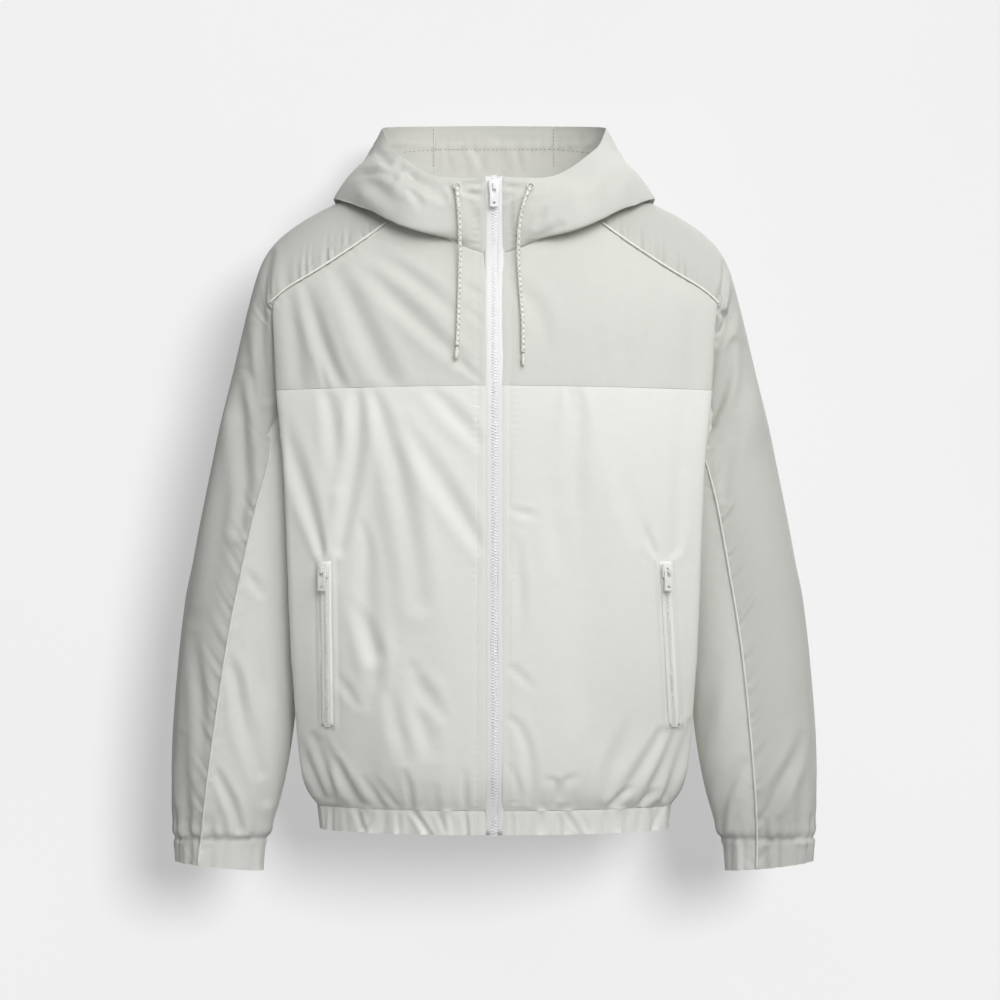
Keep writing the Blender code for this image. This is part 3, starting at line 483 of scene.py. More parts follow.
def pocket_welt(place, ends):
    """The lip of cloth along each side of a pocket's zip, which stands a little over the tape."""
    top, bottom = np.array(ends[0], float), np.array(ends[1], float)
    along = (bottom - top) / np.linalg.norm(bottom - top)
    offset = place[:, [0, 2]] - top
    share = offset @ along
    away = np.abs(offset[:, 0] * along[1] - offset[:, 1] * along[0])
    inside = np.clip((share + 4) / 6, 0, 1) * np.clip((np.linalg.norm(bottom - top) + 5 - share) / 6, 0, 1)
    return inside * (1.4 * np.exp(-(((away - 7.2) / 1.9) ** 2)) - 0.4 * np.exp(-(((away - 11.5) / 2.2) ** 2)))


POCKETS = {"left": ((-171, -358), (-169, -526)), "right": ((173, -358), (183, -526))}
for side, yoke_folds, lower_folds in (
    ("left", LEFT_YOKE_FOLDS, LEFT_LOWER_FOLDS), ("right", RIGHT_YOKE_FOLDS, RIGHT_LOWER_FOLDS)
):
    raglan = piping_line(f"piping_raglan_{side}")
    for level, cloth, folds in (("yoke", grey_shell, yoke_folds), ("lower", white_shell, lower_folds)):
        panel = cut_panel(f"front_{level}_{side}", FRONT, longest=8, levels=1, cloth=cloth)
        place, normal = points_of(panel)
        sewn = seam_puckers(place, raglan, pitch=13, reach=11, depth=0.4) + placket(place, side)
        sewn += pocket_welt(place, POCKETS[side])
        finish_panel(panel, folds_facing(place, normal, folds, "front"), sewn)

# Back yoke and lower back: two panels of the same cloth, cut on the fold, with the colours split
# at the level of the front's seam. They hang from the raglan seams and the neck, and are gathered
# into the elastic at the hem.
BACK = Vector((0, 1, 0))
BACK_YOKE_FOLDS = (
    ((-172, -70, 8, 0.5), (-150, -110, 9, 2.2), (-138, -178, 9, 1.8)),
    ((-120, -60, 8, 0.4), (-104, -120, 10, 1.8), (-98, -180, 9, 1.2)),
    ((150, -58, 8, 0.5), (160, -112, 9, 2.4), (158, -180, 9, 1.6)),
    ((86, -80, 9, 0.3), (96, -130, 10, 1.4), (92, -181, 9, 1.0)),
    ((-30, -120, 12, 0.3), (-24, -150, 12, 1.0), (-20, -182, 10, 0.8)),
    ((196, -100, 6, 0.6), (204, -140, 7, 2.0), (205, -180, 6, 1.4)),
    ((-203, -98, 6, 0.6), (-206, -146, 7, 2.2), (-202, -181, 6, 1.2)),
)
BACK_LOWER_FOLDS = (
    ((-138, -186, 8, 1.6), (-128, -260, 11, 2.8), (-138, -360, 12, 2.2), (-150, -430, 10, 0.6)),
    ((-96, -186, 8, 1.2), (-88, -250, 11, 2.0), (-84, -330, 11, 0.6)),
    ((158, -188, 8, 1.4), (150, -262, 11, 3.0), (132, -370, 12, 2.2), (124, -450, 10, 0.6)),
    ((92, -188, 8, 0.9), (84, -270, 11, 1.8), (80, -340, 10, 0.4)),
    ((-20, -188, 9, 0.7), (-12, -290, 12, 1.6), (-22, -380, 11, 0.5)),
    ((30, -300, 11, 0.4), (38, -400, 13, 2.0), (34, -500, 11, 0.8)),
    ((-60, -420, 11, 0.4), (-70, -500, 12, 2.4), (-58, -580, 8, 1.6)),
    ((176, -330, 9, 0.5), (184, -430, 10, 2.4), (170, -540, 8, 1.4)),
    ((-180, -320, 9, 0.5), (-187, -440, 10, 2.6), (-174, -550, 8, 1.2)),
    ((100, -470, 10, 0.4), (108, -540, 10, 2.2), (96, -606, 5, 2.0)),
    ((-168, -560, 4, 0.5), (-160, -588, 5, 2.4), (-154, -610, 4, 2.8)),
    ((-132, -572, 4, 0.5), (-128, -594, 5, 2.2), (-124, -611, 4, 2.4)),
    ((-104, -562, 4, 0.4), (-101, -590, 5, 2.6), (-100, -611, 4, 3.0)),
    ((-80, -580, 4, 0.4), (-78, -598, 4, 1.8), (-78, -611, 3, 2.2)),
    ((-46, -566, 4, 0.4), (-47, -592, 5, 2.4), (-46, -611, 4, 2.8)),
    ((-22, -584, 4, 0.4), (-21, -600, 4, 1.6), (-20, -611, 3, 2.0)),
    ((4, -568, 4, 0.4), (5, -592, 5, 2.2), (5, -611, 4, 2.6)),
    ((30, -578, 4, 0.4), (31, -597, 4, 1.8), (31, -611, 3, 2.4)),
    ((58, -564, 4, 0.5), (57, -590, 5, 2.6), (56, -611, 4, 3.0)),
    ((82, -582, 4, 0.4), (81, -598, 4, 1.8), (80, -611, 3, 2.0)),
    ((126, -570, 4, 0.5), (122, -592, 5, 2.4), (119, -611, 4, 2.8)),
    ((150, -566, 4, 0.5), (145, -590, 5, 2.2), (141, -611, 4, 2.6)),
    ((176, -556, 4, 0.5), (168, -586, 5, 2.6), (162, -611, 4, 2.8)),
)
for node, cloth, folds, cut, holder in (
    ("back_yoke", grey_shell, BACK_YOKE_FOLDS, (0.523, 0.239, 0.0942), "hood_centre"),
    ("back_lower", white_shell, BACK_LOWER_FOLDS, (0.652, 0.442, 0.2501), "back_yoke"),
):
    panel = cut_panel(node, BACK, longest=11, levels=1, cloth=cloth)
    place, normal = points_of(panel)
    finish_panel(panel, folds_facing(place, normal, folds, "back"))

# Sleeves: a grey top panel and an off-white under panel each, joined by a piped seam down the
# front. The same panels turn up at the wrist as a casing for flat elastic, which gathers them.
SLEEVE_SCALE = 1.027
CUFF_SEAM_ROWS = (836, 846)
CUFF_LENGTH_ROWS = 28
GATHER = 3


def sleeve_folds(relief, folds):
    """Folds of a sleeve, placed on the photograph. A narrow gather that ends at the cuff's seam runs
    on through the cuff, and fades."""
    made = []
    for points, fold in zip(folds, photo_folds(SLEEVE_SCALE, relief, folds)):
        column, row, width, _ = points[-1]
        if width <= GATHER and CUFF_SEAM_ROWS[0] <= row <= CUFF_SEAM_ROWS[1]:
            x, z, _, depth = fold[-1]
            low = photo_folds(SLEEVE_SCALE, relief, [[(column, row + CUFF_LENGTH_ROWS, width, 0)]])[0][0][1]
            fold = (*fold[:-1], (x, z, width, round(0.6 * depth, 1)), (x, low, width, round(0.35 * depth, 1)))
        made.append(fold)
    return tuple(made)


LEFT_TOP_FOLDS = sleeve_folds(relief=1.6, folds=(
    ((268, 255, 5, 1), (262, 300, 6, 2.6), (261, 345, 6, 2.6), (267, 395, 5, 2)),
    ((243, 372, 5, 0.6), (240, 415, 7, 2.8), (245, 470, 8, 3.2), (240, 527, 7, 2)),
    ((252, 330, 5, 0.4), (250, 365, 6, 1.4), (258, 400, 6, 1.6), (262, 420, 5, 0.4)),
    ((237, 384, 8, -0.6), (224, 438, 9, -2.4), (208, 525, 9, -2), (196, 600, 9, -0.6)),
    ((194, 640, 5, 0.4), (200, 690, 6, 2.2), (203, 735, 6, 1.4), (200, 770, 5, 0.3)),
    ((182, 740, 5, 0.4), (184, 790, 6, 1.6), (186, 830, 4, 2.2)),
    ((176, 812, 3, 0.4), (177, 838, 3, 2.4)),
    ((190, 810, 3, 0.4), (190, 838, 3, 2.6)),
    ((183, 822, 3, 0.4), (183, 838, 3, 1.8)),
    ((198, 818, 3, 0.4), (197, 838, 3, 1.6)),
))
LEFT_UNDER_FOLDS = sleeve_folds(relief=1.5, folds=(
    ((246, 571, 4, 0.4), (254, 582, 5, 1.6), (262, 592, 5, 0.8)),
    ((224, 655, 5, 0.8), (238, 685, 6, 3), (242, 720, 6, 2.4), (258, 770, 6, 1)),
    ((214, 765, 4, 0.6), (231, 800, 5, 2.6), (239, 828, 4, 2)),
    ((241, 698, 5, 0.5), (255, 740, 7, 2.2), (266, 797, 6, 1.4)),
    ((257, 648, 5, 0.4), (262, 680, 6, 1.8), (268, 700, 6, 0.4)),
    ((212, 820, 3, 0.4), (212, 840, 3, 2)),
    ((222, 826, 3, 0.4), (224, 842, 3, 1.8)),
    ((234, 824, 3, 0.5), (235, 844, 3, 2.4)),
    ((243, 826, 3, 0.4), (244, 844, 3, 2)),
    ((254, 828, 3, 0.4), (253, 844, 3, 1.6)),
))
RIGHT_TOP_FOLDS = sleeve_folds(relief=1.5, folds=(
    ((725, 262, 2.5, 1.2), (724, 285, 3, 2.6), (717, 307, 3, 2.2)),
    ((721, 313, 3, 2.5), (726, 321, 3, 3), (718, 333, 3, 2.2)),
    ((734, 296, 4, 0.6), (729, 322, 5, 2.4), (718, 341, 4, 2)),
    ((732, 345, 5, 0.8), (725, 384, 6, 2.6), (713, 413, 5, 2.4)),
    ((745, 352, 9, 0.8), (742, 395, 10, 1.6), (738, 430, 9, 0.4)),
    ((736, 428, 6, 0.4), (727, 465, 7, 1.6), (722, 495, 6, 1)),
    ((801, 738, 5, 0.6), (789, 768, 7, 2.8), (773, 796, 7, 2.6), (758, 835, 5, 2)),
    ((807, 750, 6, 0.3), (803, 800, 7, 1.6), (801, 836, 4, 2)),
    ((765, 822, 3, 0.4), (766, 842, 3, 2)),
    ((777, 818, 3, 0.4), (777, 843, 3, 2.4)),
    ((790, 824, 3, 0.4), (789, 842, 3, 2)),
    ((811, 818, 3, 0.4), (810, 840, 3, 1.8)),
))
RIGHT_UNDER_FOLDS = sleeve_folds(relief=1.5, folds=(
    ((744, 757, 5, 0.6), (727, 787, 6, 2.8), (720, 828, 5, 2)),
    ((712, 668, 8, 0.4), (705, 715, 9, 1.8), (699, 750, 8, 0.6)),
    ((735, 805, 4, 0.4), (732, 842, 3, 2)),
    ((726, 826, 3, 0.4), (725, 844, 3, 2)),
    ((741, 828, 3, 0.4), (742, 846, 3, 2)),
    ((748, 824, 3, 0.4), (748, 846, 3, 1.6)),
))
OUTER_FOLDS = (
    ((-20, -120, 8, 0.5), (-10, -200, 10, 2.4), (-16, -300, 11, 2.2), (-8, -380, 9, 0.6)),
    ((22, -160, 8, 0.4), (18, -260, 11, 2.6), (6, -360, 11, 1.8), (10, -440, 9, 0.4)),
    ((-28, -400, 9, 0.4), (-22, -480, 10, 2.2), (-30, -560, 9, 0.8)),
    ((8, -470, 9, 0.4), (14, -540, 10, 2.4), (4, -610, 8, 1.2)),
    ((-36, -606, 3, 0.4), (-35, -644, 3, 2.0)),
    ((-20, -600, 3, 0.4), (-19, -645, 3, 2.4)),
    ((-8, -612, 3, 0.4), (-8, -644, 3, 1.8)),
    ((5, -602, 3, 0.4), (6, -645, 3, 2.2)),
    ((19, -608, 3, 0.4), (18, -644, 3, 2.0)),
)


def cuff_gathers(place, seam):
    """The elastic's uneven gathers around a wrist, above and on the cuff, and the cuff's sunk seam."""
    centre = place[place[:, 2] < seam + 30].mean(0)
    turn = np.arctan2(place[:, 1] - centre[1], place[:, 0] - centre[0])
    rise = place[:, 2] - seam
    wave = np.sin(17 * turn + 1.4 * np.sin(3 * turn + 1)) * (0.6 + 0.4 * np.sin(5 * turn + 2))
    fine = np.sin(27 * turn + 2.0 * np.sin(2 * turn)) * (0.6 + 0.4 * np.sin(7 * turn))
    above = np.where(rise > 0, np.exp(-((rise / 18) ** 2)), np.exp(-((rise / 4) ** 2)))
    band = np.clip(-rise / 4, 0, 1)
    puff = 1.2 * np.exp(-(((rise - 9) / 6) ** 2))
    return (1.1 * wave + 0.3) * above + 0.9 * fine * band + puff - 2.0 * np.exp(-((rise / 2.6) ** 2))


def other_arm(folds):
    """The same folds on the other arm, shallower, for the side of a sleeve that the eye rarely meets."""
    return tuple(tuple((-x, z, width, 0.6 * depth) for x, z, width, depth in fold) for fold in folds)


CUFF_SEAM = -645
# Where each top panel laps the under panel at the armhole: x, z, and how far its edge is moved in x.
ARMHOLE_LAPS = {"sleeve_top_left": (-230, -212, 5.5), "sleeve_top_right": (222, -226, -6.5)}
for side, towards, top_folds, under_folds, back_top, back_under in (
    ("left", (-1, 0, 0), LEFT_TOP_FOLDS, LEFT_UNDER_FOLDS, RIGHT_TOP_FOLDS, RIGHT_UNDER_FOLDS),
    ("right", (1, 0, 0), RIGHT_TOP_FOLDS, RIGHT_UNDER_FOLDS, LEFT_TOP_FOLDS, LEFT_UNDER_FOLDS),
):
    raglan, seam = piping_line(f"piping_raglan_{side}"), piping_line(f"piping_sleeve_{side}")
    for node, out, longest, cloth, front, back in (
        (f"sleeve_top_{side}", Vector(towards), 7, grey_shell, top_folds, back_top),
        (f"sleeve_under_{side}", FRONT, 9, white_shell, under_folds, back_under),
    ):
        panel = cut_panel(node, out, longest, levels=1, cloth=cloth)
        place, normal = points_of(panel)
        if node in ARMHOLE_LAPS:
            x, z, push = ARMHOLE_LAPS[node]
            lap = np.exp(-((place[:, 2] - z) / 18) ** 2 - ((place[:, 0] - x) / 16) ** 2)
            for vert, share in zip(panel.data.vertices, lap):
                vert.co.x += push * MM * share
            place, normal = points_of(panel)
        creases = folds_facing(place, normal, front, "front")
        creases += folds_facing(place, normal, other_arm(back), "back")
        sewn = cuff_gathers(place, CUFF_SEAM)
        if "top" in node:
            creases += folds_facing(place, normal, OUTER_FOLDS, side)
            sewn += seam_puckers(place, seam, pitch=15, reach=17, depth=1.6, slant=1.1)
            sewn += seam_puckers(place, raglan, pitch=11, reach=19, depth=2.7, slant=0.6)
        else:
            sewn += seam_puckers(place, seam, pitch=17, reach=11, depth=0.6, slant=0.8)
        finish_panel(panel, creases, sewn, spread=0.4)

# Hem band: three lengths of the off-white cloth folded over a flat elastic and sewn to the
# body, so that the band stands in short upright pleats, with a flat tab on each side of the zip.
HEM_LEFT_FOLDS = photo_folds(FRONT_SCALE, relief=1.1, folds=(
    ((324, 797, 3, 1.4), (322, 832, 3, 1)),
    ((329, 800, 2.5, 1.8), (328, 834, 2.5, 1.4)),
    ((343, 803, 3, 0.8), (345, 832, 3, 0.6)),
    ((354, 805, 3, 1.8), (361, 831, 3, 1.4)),
    ((375, 806, 3, 1.4), (364, 831, 3, 1)),
    ((385, 806, 3, 0.8), (383, 834, 3, 0.5)),
    ((397, 806, 3, 1.4), (398, 836, 3, 1)),
    ((409, 805, 3, 2), (431, 838, 3, 1.6)),
    ((437, 808, 3, 1.2), (446, 834, 3, 0.8)),
    ((452, 806, 3, 0.8), (453, 836, 3, 0.5)),
    ((464, 804, 2.5, 2.2), (466, 838, 2.5, 1.8)),
))
HEM_RIGHT_FOLDS = photo_folds(FRONT_SCALE, relief=1.1, folds=(
    ((512, 806, 2.5, 1.6), (512, 836, 2.5, 1.4)),
    ((522, 808, 3, 0.8), (517, 836, 3, 0.8)),
    ((541, 806, 3, 0.8), (540, 836, 3, 0.4)),
    ((559, 806, 3, 1.8), (559, 836, 3, 1.4)),
    ((563, 808, 3, 1.4), (580, 836, 3, 1)),
    ((577, 806, 3, 0.6), (590, 834, 3, 0.6)),
    ((605, 806, 3, 1.6), (607, 836, 3, 1.2)),
    ((629, 806, 3, 1), (626, 834, 3, 0.6)),
    ((642, 805, 3, 0.8), (640, 832, 3, 0.6)),
    ((655, 804, 3, 1.6), (655, 834, 3, 1.2)),
    ((664, 803, 3, 1.4), (657, 831, 3, 1.2)),
    ((673, 802, 2.5, 1.6), (671, 831, 2.5, 1.4)),
    ((680, 800, 2.5, 1.2), (679, 829, 2.5, 1)),
))
HEM_BACK_FOLDS = tuple(
    ((x, -609, 3, depth), (x + lean, -638, 3, 0.8 * depth))
    for x, lean, depth in (
        (-172, 3, 1.4), (-158, 2, 1.8), (-146, 5, 1.0), (-127, -3, 1.6), (-112, 4, 1.0), (-99, 2, 2.0),
        (-80, -4, 1.2),
        (-64, 3, 0.8), (-46, 6, 1.8), (-30, 0, 1.0), (-19, -2, 1.4), (5, 3, 1.8), (19, 5, 0.9), (32, -2, 1.5),
        (57, 4, 2.0),
        (70, 0, 0.8), (82, -3, 1.4), (101, 4, 1.0), (120, -5, 1.8), (142, 2, 1.6), (155, -3, 1.0),
        (163, 0, 1.8), (174, -2, 1.2),
    )
)
for node, towards, view, folds, cut, holder in (
    ("hem_band_left", FRONT, "front", HEM_LEFT_FOLDS, (0.238, 0.026, 0.0059), "front_lower_left"),
    ("hem_band_right", FRONT, "front", HEM_RIGHT_FOLDS, (0.238, 0.028, 0.0059), "front_lower_right"),
    ("hem_band_back", BACK, "back", HEM_BACK_FOLDS, (0.479, 0.027, 0.0119), "back_lower"),
):
    panel = cut_panel(node, towards, longest=9, levels=2, cloth=white_shell)
    place, normal = points_of(panel)
    finish_panel(panel, folds_facing(place, normal, folds, view))

# Hood: left, centre and right panels of the grey cloth, worn down. It rolls over at the neck,
# and its face edge is turned in and stitched as a casing for the drawcord, which puckers it.
HOOD_SCALE = 1.02
HOOD_LEFT_FOLDS = photo_folds(HOOD_SCALE, relief=1.8, folds=(
    ((400, 163, 4, 0.8), (414, 178, 5, 3), (442, 198, 4, 1.2)),
    ((413, 174, 4, 0.4), (432, 184, 4, 1.8), (452, 195, 4, 0.8)),
    ((372, 146, 4, 0.6), (384, 158, 4, 2), (397, 166, 4, 1)),
    ((352, 172, 4, 0.4), (372, 170, 4, 1.3), (392, 176, 4, 0.6)),
    ((404, 186, 4, 0.4), (414, 194, 4, 1.4), (420, 206, 4, 0.4)),
    ((440, 180, 3, 0.4), (452, 190, 3, 1.2), (458, 202, 3, 0.4)),
    ((371, 138, 4, 0.6), (381, 149, 4, 1.8), (398, 152, 5, 0.5)),
    ((357, 165, 6, 0.4), (375, 185, 8, 1.6), (392, 200, 7, 0.6)),
    ((330, 195, 8, 0.3), (352, 205, 9, 1.2), (375, 222, 8, 0.4)),
    ((463, 186, 3, 1.3), (474, 184, 3, 1.6), (482, 181, 3, 0.6)),
    ((462, 191, 3, 1), (472, 194, 3, 1.6), (482, 196, 3, 0.6)),
    ((470, 205, 4, 0.3), (474, 218, 5, 1.4), (472, 232, 4, 0.4)),
))
HOOD_RIGHT_FOLDS = photo_folds(HOOD_SCALE, relief=1.4, folds=(
    ((545, 211, 3, 0.4), (541, 218, 4, 1.4), (536, 226, 3, 0.4)),
    ((582, 183, 7, 0.3), (586, 200, 8, 1.2), (582, 212, 6, 0.3)),
    ((620, 150, 8, 0.3), (612, 180, 10, 1.2), (600, 200, 8, 0.3)),
    ((560, 226, 4, 0.8), (549, 232, 4, 1.2), (540, 236, 3, 0.4)),
    ((524, 186, 3, 1.2), (514, 188, 3, 1.5), (505, 186, 3, 0.5)),
    ((523, 191, 3, 1), (513, 195, 3, 1.3), (506, 200, 3, 0.5)),
    ((512, 206, 3, 0.4), (509, 220, 4, 1), (511, 235, 3, 0.3)),
))
HOOD_CENTRE_FOLDS = (
    ((-58, 60, 3, 0.4), (-56, 72, 4, 1.0), (-57, 84, 3, 0.4)),
    ((-42, 62, 3, 0.4), (-44, 73, 4, 1.2), (-43, 82, 3, 0.3)),
    ((-27, 48, 4, 0.4), (-22, 60, 5, 1.6), (-26, 74, 4, 1.2)),
    ((-8, 66, 4, 0.4), (-6, 76, 4, 0.8), (-2, 86, 4, 0.4)),
    ((14, 58, 4, 0.4), (18, 70, 5, 1.2), (16, 82, 4, 0.4)),
    ((34, 62, 3, 0.3), (32, 72, 4, 1.0), (35, 83, 3, 0.3)),
    ((-30, -90, 8, 0.4), (-24, -40, 9, 1.8), (-30, 10, 8, 0.4)),
    ((32, -100, 8, 0.4), (36, -50, 10, 2.0), (30, 6, 8, 0.4)),
)
HOOD_BACK_FOLDS = (
    ((-130, -40, 7, 0.5), (-122, 0, 9, 2.0), (-112, 50, 8, 0.5)),
    ((-98, -80, 7, 0.5), (-94, -30, 9, 2.2), (-98, 30, 8, 0.5)),
    ((104, -76, 7, 0.5), (98, -24, 9, 2.0), (104, 34, 8, 0.5)),
    ((136, -34, 7, 0.5), (126, 4, 8, 1.8), (118, 50, 7, 0.5)),
)
HOOD_EDGE = ((8, -85, 34), (45, -82, 32), (68, -72, 38), (93, -40, 57),
             (110, 20, 76), (116, 48, 90), (119, 74, 99), (62, 110, 103), (0, 116, 104))
HOOD_CORNER = (60, 130)
HOOD_ROLL_HEIGHT = -98.0


def casing(place):
    """The hem around the face opening: a stitched line 24 mm in, with the puckers of the cord."""
    half = np.array(HOOD_EDGE, float)
    spots = np.linspace(0, len(half) - 1, 200)
    edge = np.array([np.interp(spots, range(len(half)), half[:, axis]) for axis in range(3)]).T
    spread = distance_to(place * (np.sign(place[:, :1]) * (1, 0, 0) + (0, 1, 1)), edge) - 24
    run = place[:, 0] + 0.4 * place[:, 1]
    wave = np.sin(2 * np.pi * run / 10 + 1.6 * np.sin(run / 9)) * (0.55 + 0.45 * np.sin(run / 17 + 1))
    back = np.clip((place[:, 1] - 20) / 40, 0, 1)
    return -0.5 * np.exp(-((spread / 2.2) ** 2)) - 1.1 * back * wave * np.exp(-((spread / 7) ** 2))


for node, towards, folds, cut, holder in (
    ("hood_left", FRONT, HOOD_LEFT_FOLDS, (0.422, 0.293, 0.0684), "front_yoke_left"),
    ("hood_right", FRONT, HOOD_RIGHT_FOLDS, (0.375, 0.328, 0.0685), "front_yoke_right"),
    ("hood_centre", BACK, (), (0.137, 0.441, 0.0554), "back_yoke"),
):
    panel = cut_panel(node, towards, longest=8, levels=1, cloth=grey_shell)
    for vert in panel.data.vertices:
        if abs(vert.co.x) > HOOD_CORNER[0] * MM and vert.co.y > HOOD_CORNER[1] * MM:
            vert.co.z = max(vert.co.z, HOOD_ROLL_HEIGHT * MM)
    place, normal = points_of(panel)
    creases = folds_facing(place, normal, HOOD_BACK_FOLDS if folds else HOOD_CENTRE_FOLDS, "back")
    sewn = casing(place)
    if folds:
        creases += folds_facing(place, normal, folds, "front")
        sewn += np.clip((-place[:, 1] - 60) / 15, 0, 1) * placket(place, node[5:])
    finish_panel(panel, creases, sewn, spread=0.2)

# Piping: a thin cotton cord wrapped in a bias strip of white cloth, caught in the raglan seams and
# in the front seam of each sleeve. Its face is smooth and round, with the strip's slanting weave.
def bias_strip():
    """White cotton cut on the bias. It gives a clean bright line with a fine slanting twill.
    The twill is 0.4 mm apart, and is drawn at 1.2 mm so that it shows."""
    made, tree, output = new_material("cotton_bias_strip")
    place = add_node(tree, "ShaderNodeTexCoord").outputs["Object"]
    twill = add_node(tree, "ShaderNodeTexWave", {
        "Vector": place, "Scale": 2 * math.pi / 20 / (1.2 * MM), "Distortion": 0.5}, bands_direction="DIAGONAL")
    tint = add_node(tree, "ShaderNodeTexNoise", {"Vector": place, "Scale": 1 / (6 * MM), "Detail": 2.0})
    colour = add_node(tree, "ShaderNodeMix", {
        0: tint.outputs["Fac"], 6: linear("#f4f4ef"), 7: linear("#e8e8e2")}, data_type="RGBA")
    relief = add_node(tree, "ShaderNodeBump", {
        "Height": twill.outputs["Fac"], "Strength": 0.4, "Distance": 0.15 * MM})
    shader = add_node(tree, "ShaderNodeBsdfPrincipled", {
        "Base Color": colour.outputs[2], "Roughness": 0.7, "IOR": 1.5, "Specular IOR Level": 0.3,
        "Sheen Weight": 0.15, "Normal": relief.outputs["Normal"]})
    tree.links.new(shader.outputs[0], output.inputs["Surface"])
    return made


def rounded_copy(node, levels, material, top=None):
    """A smooth piece on the form of a small solid, such as a cord or a ring, below a height."""
    mesh = bmesh.new()
    mesh.from_mesh(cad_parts[node].data)
    bmesh.ops.remove_doubles(mesh, verts=mesh.verts, dist=0.01 * MM)
    bmesh.ops.join_triangles(
        mesh, faces=mesh.faces, angle_face_threshold=math.radians(40), angle_shape_threshold=math.radians(60)
    )
    if top is not None:
        geometry = [*mesh.verts, *mesh.edges, *mesh.faces]
        bmesh.ops.bisect_plane(
            mesh, geom=geometry, plane_co=(0, 0, top * MM), plane_no=(0, 0, 1), clear_outer=True)
        bmesh.ops.holes_fill(mesh, edges=[edge for edge in mesh.edges if edge.is_boundary], sides=0)
    piece = place_piece(f"{node}_trim", mesh, material)
    refine(piece, levels)
    piece.data.shade_smooth()
    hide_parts(node)
    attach(piece, "jacket")
    return piece


bias = bias_strip()
for side, top in (("left", -224), ("right", -250)):
    strips = [
        rounded_copy(f"piping_raglan_{side}", 2, bias),
        rounded_copy(f"piping_sleeve_{side}", 2, bias, top),
    ]
    if side == "left":
        for vert in strips[1].data.vertices:
            vert.co.x += 0.45 * max(0, vert.co.z + 242 * MM)

# Front zip: two woven polyester tapes that are sewn under the edges of the front, and a row of
# white moulded teeth on each, which mesh at the centre from the hem to the top of the collar.
TOOTH_PITCH = 3.0
TOOTH = (3.6, 2.0, 1.5)
TAPE_EDGE = 7.6
TAPE_TUCK = (2.2, 1.1)


def zip_tape(name, rib, face):
    """Woven polyester tape. It gives a flat, slightly ribbed band, whiter than the cloth.
    The ribs are 0.5 mm apart, and are drawn at 1.1 mm so that they show."""
    made, tree, output = new_material(name)
    place = add_node(tree, "ShaderNodeTexCoord").outputs["Object"]
    ribs = add_node(tree, "ShaderNodeTexWave", {
        "Vector": place, "Scale": 2 * math.pi / 20 / (1.1 * MM), "Distortion": 0.3}, bands_direction="X")
    picks = add_node(tree, "ShaderNodeTexWave", {
        "Vector": place, "Scale": 2 * math.pi / 20 / (1.6 * MM), "Distortion": 0.3}, bands_direction="Z")
    both = add_node(tree, "ShaderNodeMath", {
        0: ribs.outputs["Fac"], 1: picks.outputs["Fac"]}, operation="MULTIPLY")
    colour = add_node(tree, "ShaderNodeMix", {
        0: both.outputs[0], 6: linear(rib), 7: linear(face)}, data_type="RGBA")
    relief = add_node(tree, "ShaderNodeBump", {
        "Height": both.outputs[0], "Strength": 0.5, "Distance": 0.2 * MM})
    shader = add_node(tree, "ShaderNodeBsdfPrincipled", {
        "Base Color": colour.outputs[2], "Roughness": 0.75, "IOR": 1.5, "Specular IOR Level": 0.3,
        "Normal": relief.outputs["Normal"]})
    tree.links.new(shader.outputs[0], output.inputs["Surface"])
    return made


def moulded_acetal(name, face, dull):
    """Injection-moulded acetal. It gives a clean, faintly waxy white with soft highlights on its
    rounded edges, and a slight unevenness where the mould was polished by hand."""
    made, tree, output = new_material(name)
    place = add_node(tree, "ShaderNodeTexCoord").outputs["Object"]
    flow = add_node(tree, "ShaderNodeTexNoise", {"Vector": place, "Scale": 1 / (3 * MM), "Detail": 3.0})
    colour = add_node(tree, "ShaderNodeMix", {
        0: flow.outputs["Fac"], 6: linear(face), 7: linear(dull)}, data_type="RGBA")
    rough = add_node(tree, "ShaderNodeMapRange", {
        "Value": flow.outputs["Fac"], "To Min": 0.32, "To Max": 0.5})
    relief = add_node(tree, "ShaderNodeBump", {
        "Height": flow.outputs["Fac"], "Strength": 0.15, "Distance": 0.1 * MM})
    shader = add_node(tree, "ShaderNodeBsdfPrincipled", {
        "Base Color": colour.outputs[2], "Roughness": rough.outputs[0], "IOR": 1.48,
        "Normal": relief.outputs["Normal"]})
    tree.links.new(shader.outputs[0], output.inputs["Surface"])
    return made


def soft_strip(node, towards, levels, material):
    """A woven tape on the form of its solid."""
    piece = place_piece(f"{node}_weave", outer_layer(node, towards), material)
    refine(piece, levels)
    ply = piece.modifiers.new("ply", "SOLIDIFY")
    ply.thickness, ply.offset = 0.6 * MM, -1.0
    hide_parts(node)
    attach(piece, "jacket")
    return piece


def teeth_on(node, line, size, material):
    """Two rows of moulded teeth that mesh along a line of (place, direction across, outward)."""
    mesh = bmesh.new()
    for number, (place, across, outward) in enumerate(line):
        lean = 1 if number % 2 else -1
        along = across.cross(outward)
        turn = Matrix((across, outward, along)).transposed().to_4x4()
        matrix = Matrix.Translation(place + across * (lean * 0.28 * size[0] * MM)) @ turn
        bmesh.ops.create_cube(mesh, size=1, matrix=matrix @ Matrix.Diagonal((*(s * MM for s in size), 1)))
    bmesh.ops.bevel(
        mesh, geom=mesh.edges[:], offset=0.32 * MM, segments=1, profile=0.5, affect="EDGES", material=-1)
    piece = place_piece(f"{node}_row", mesh, material)
    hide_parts(node)
    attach(piece, "jacket")
    return piece


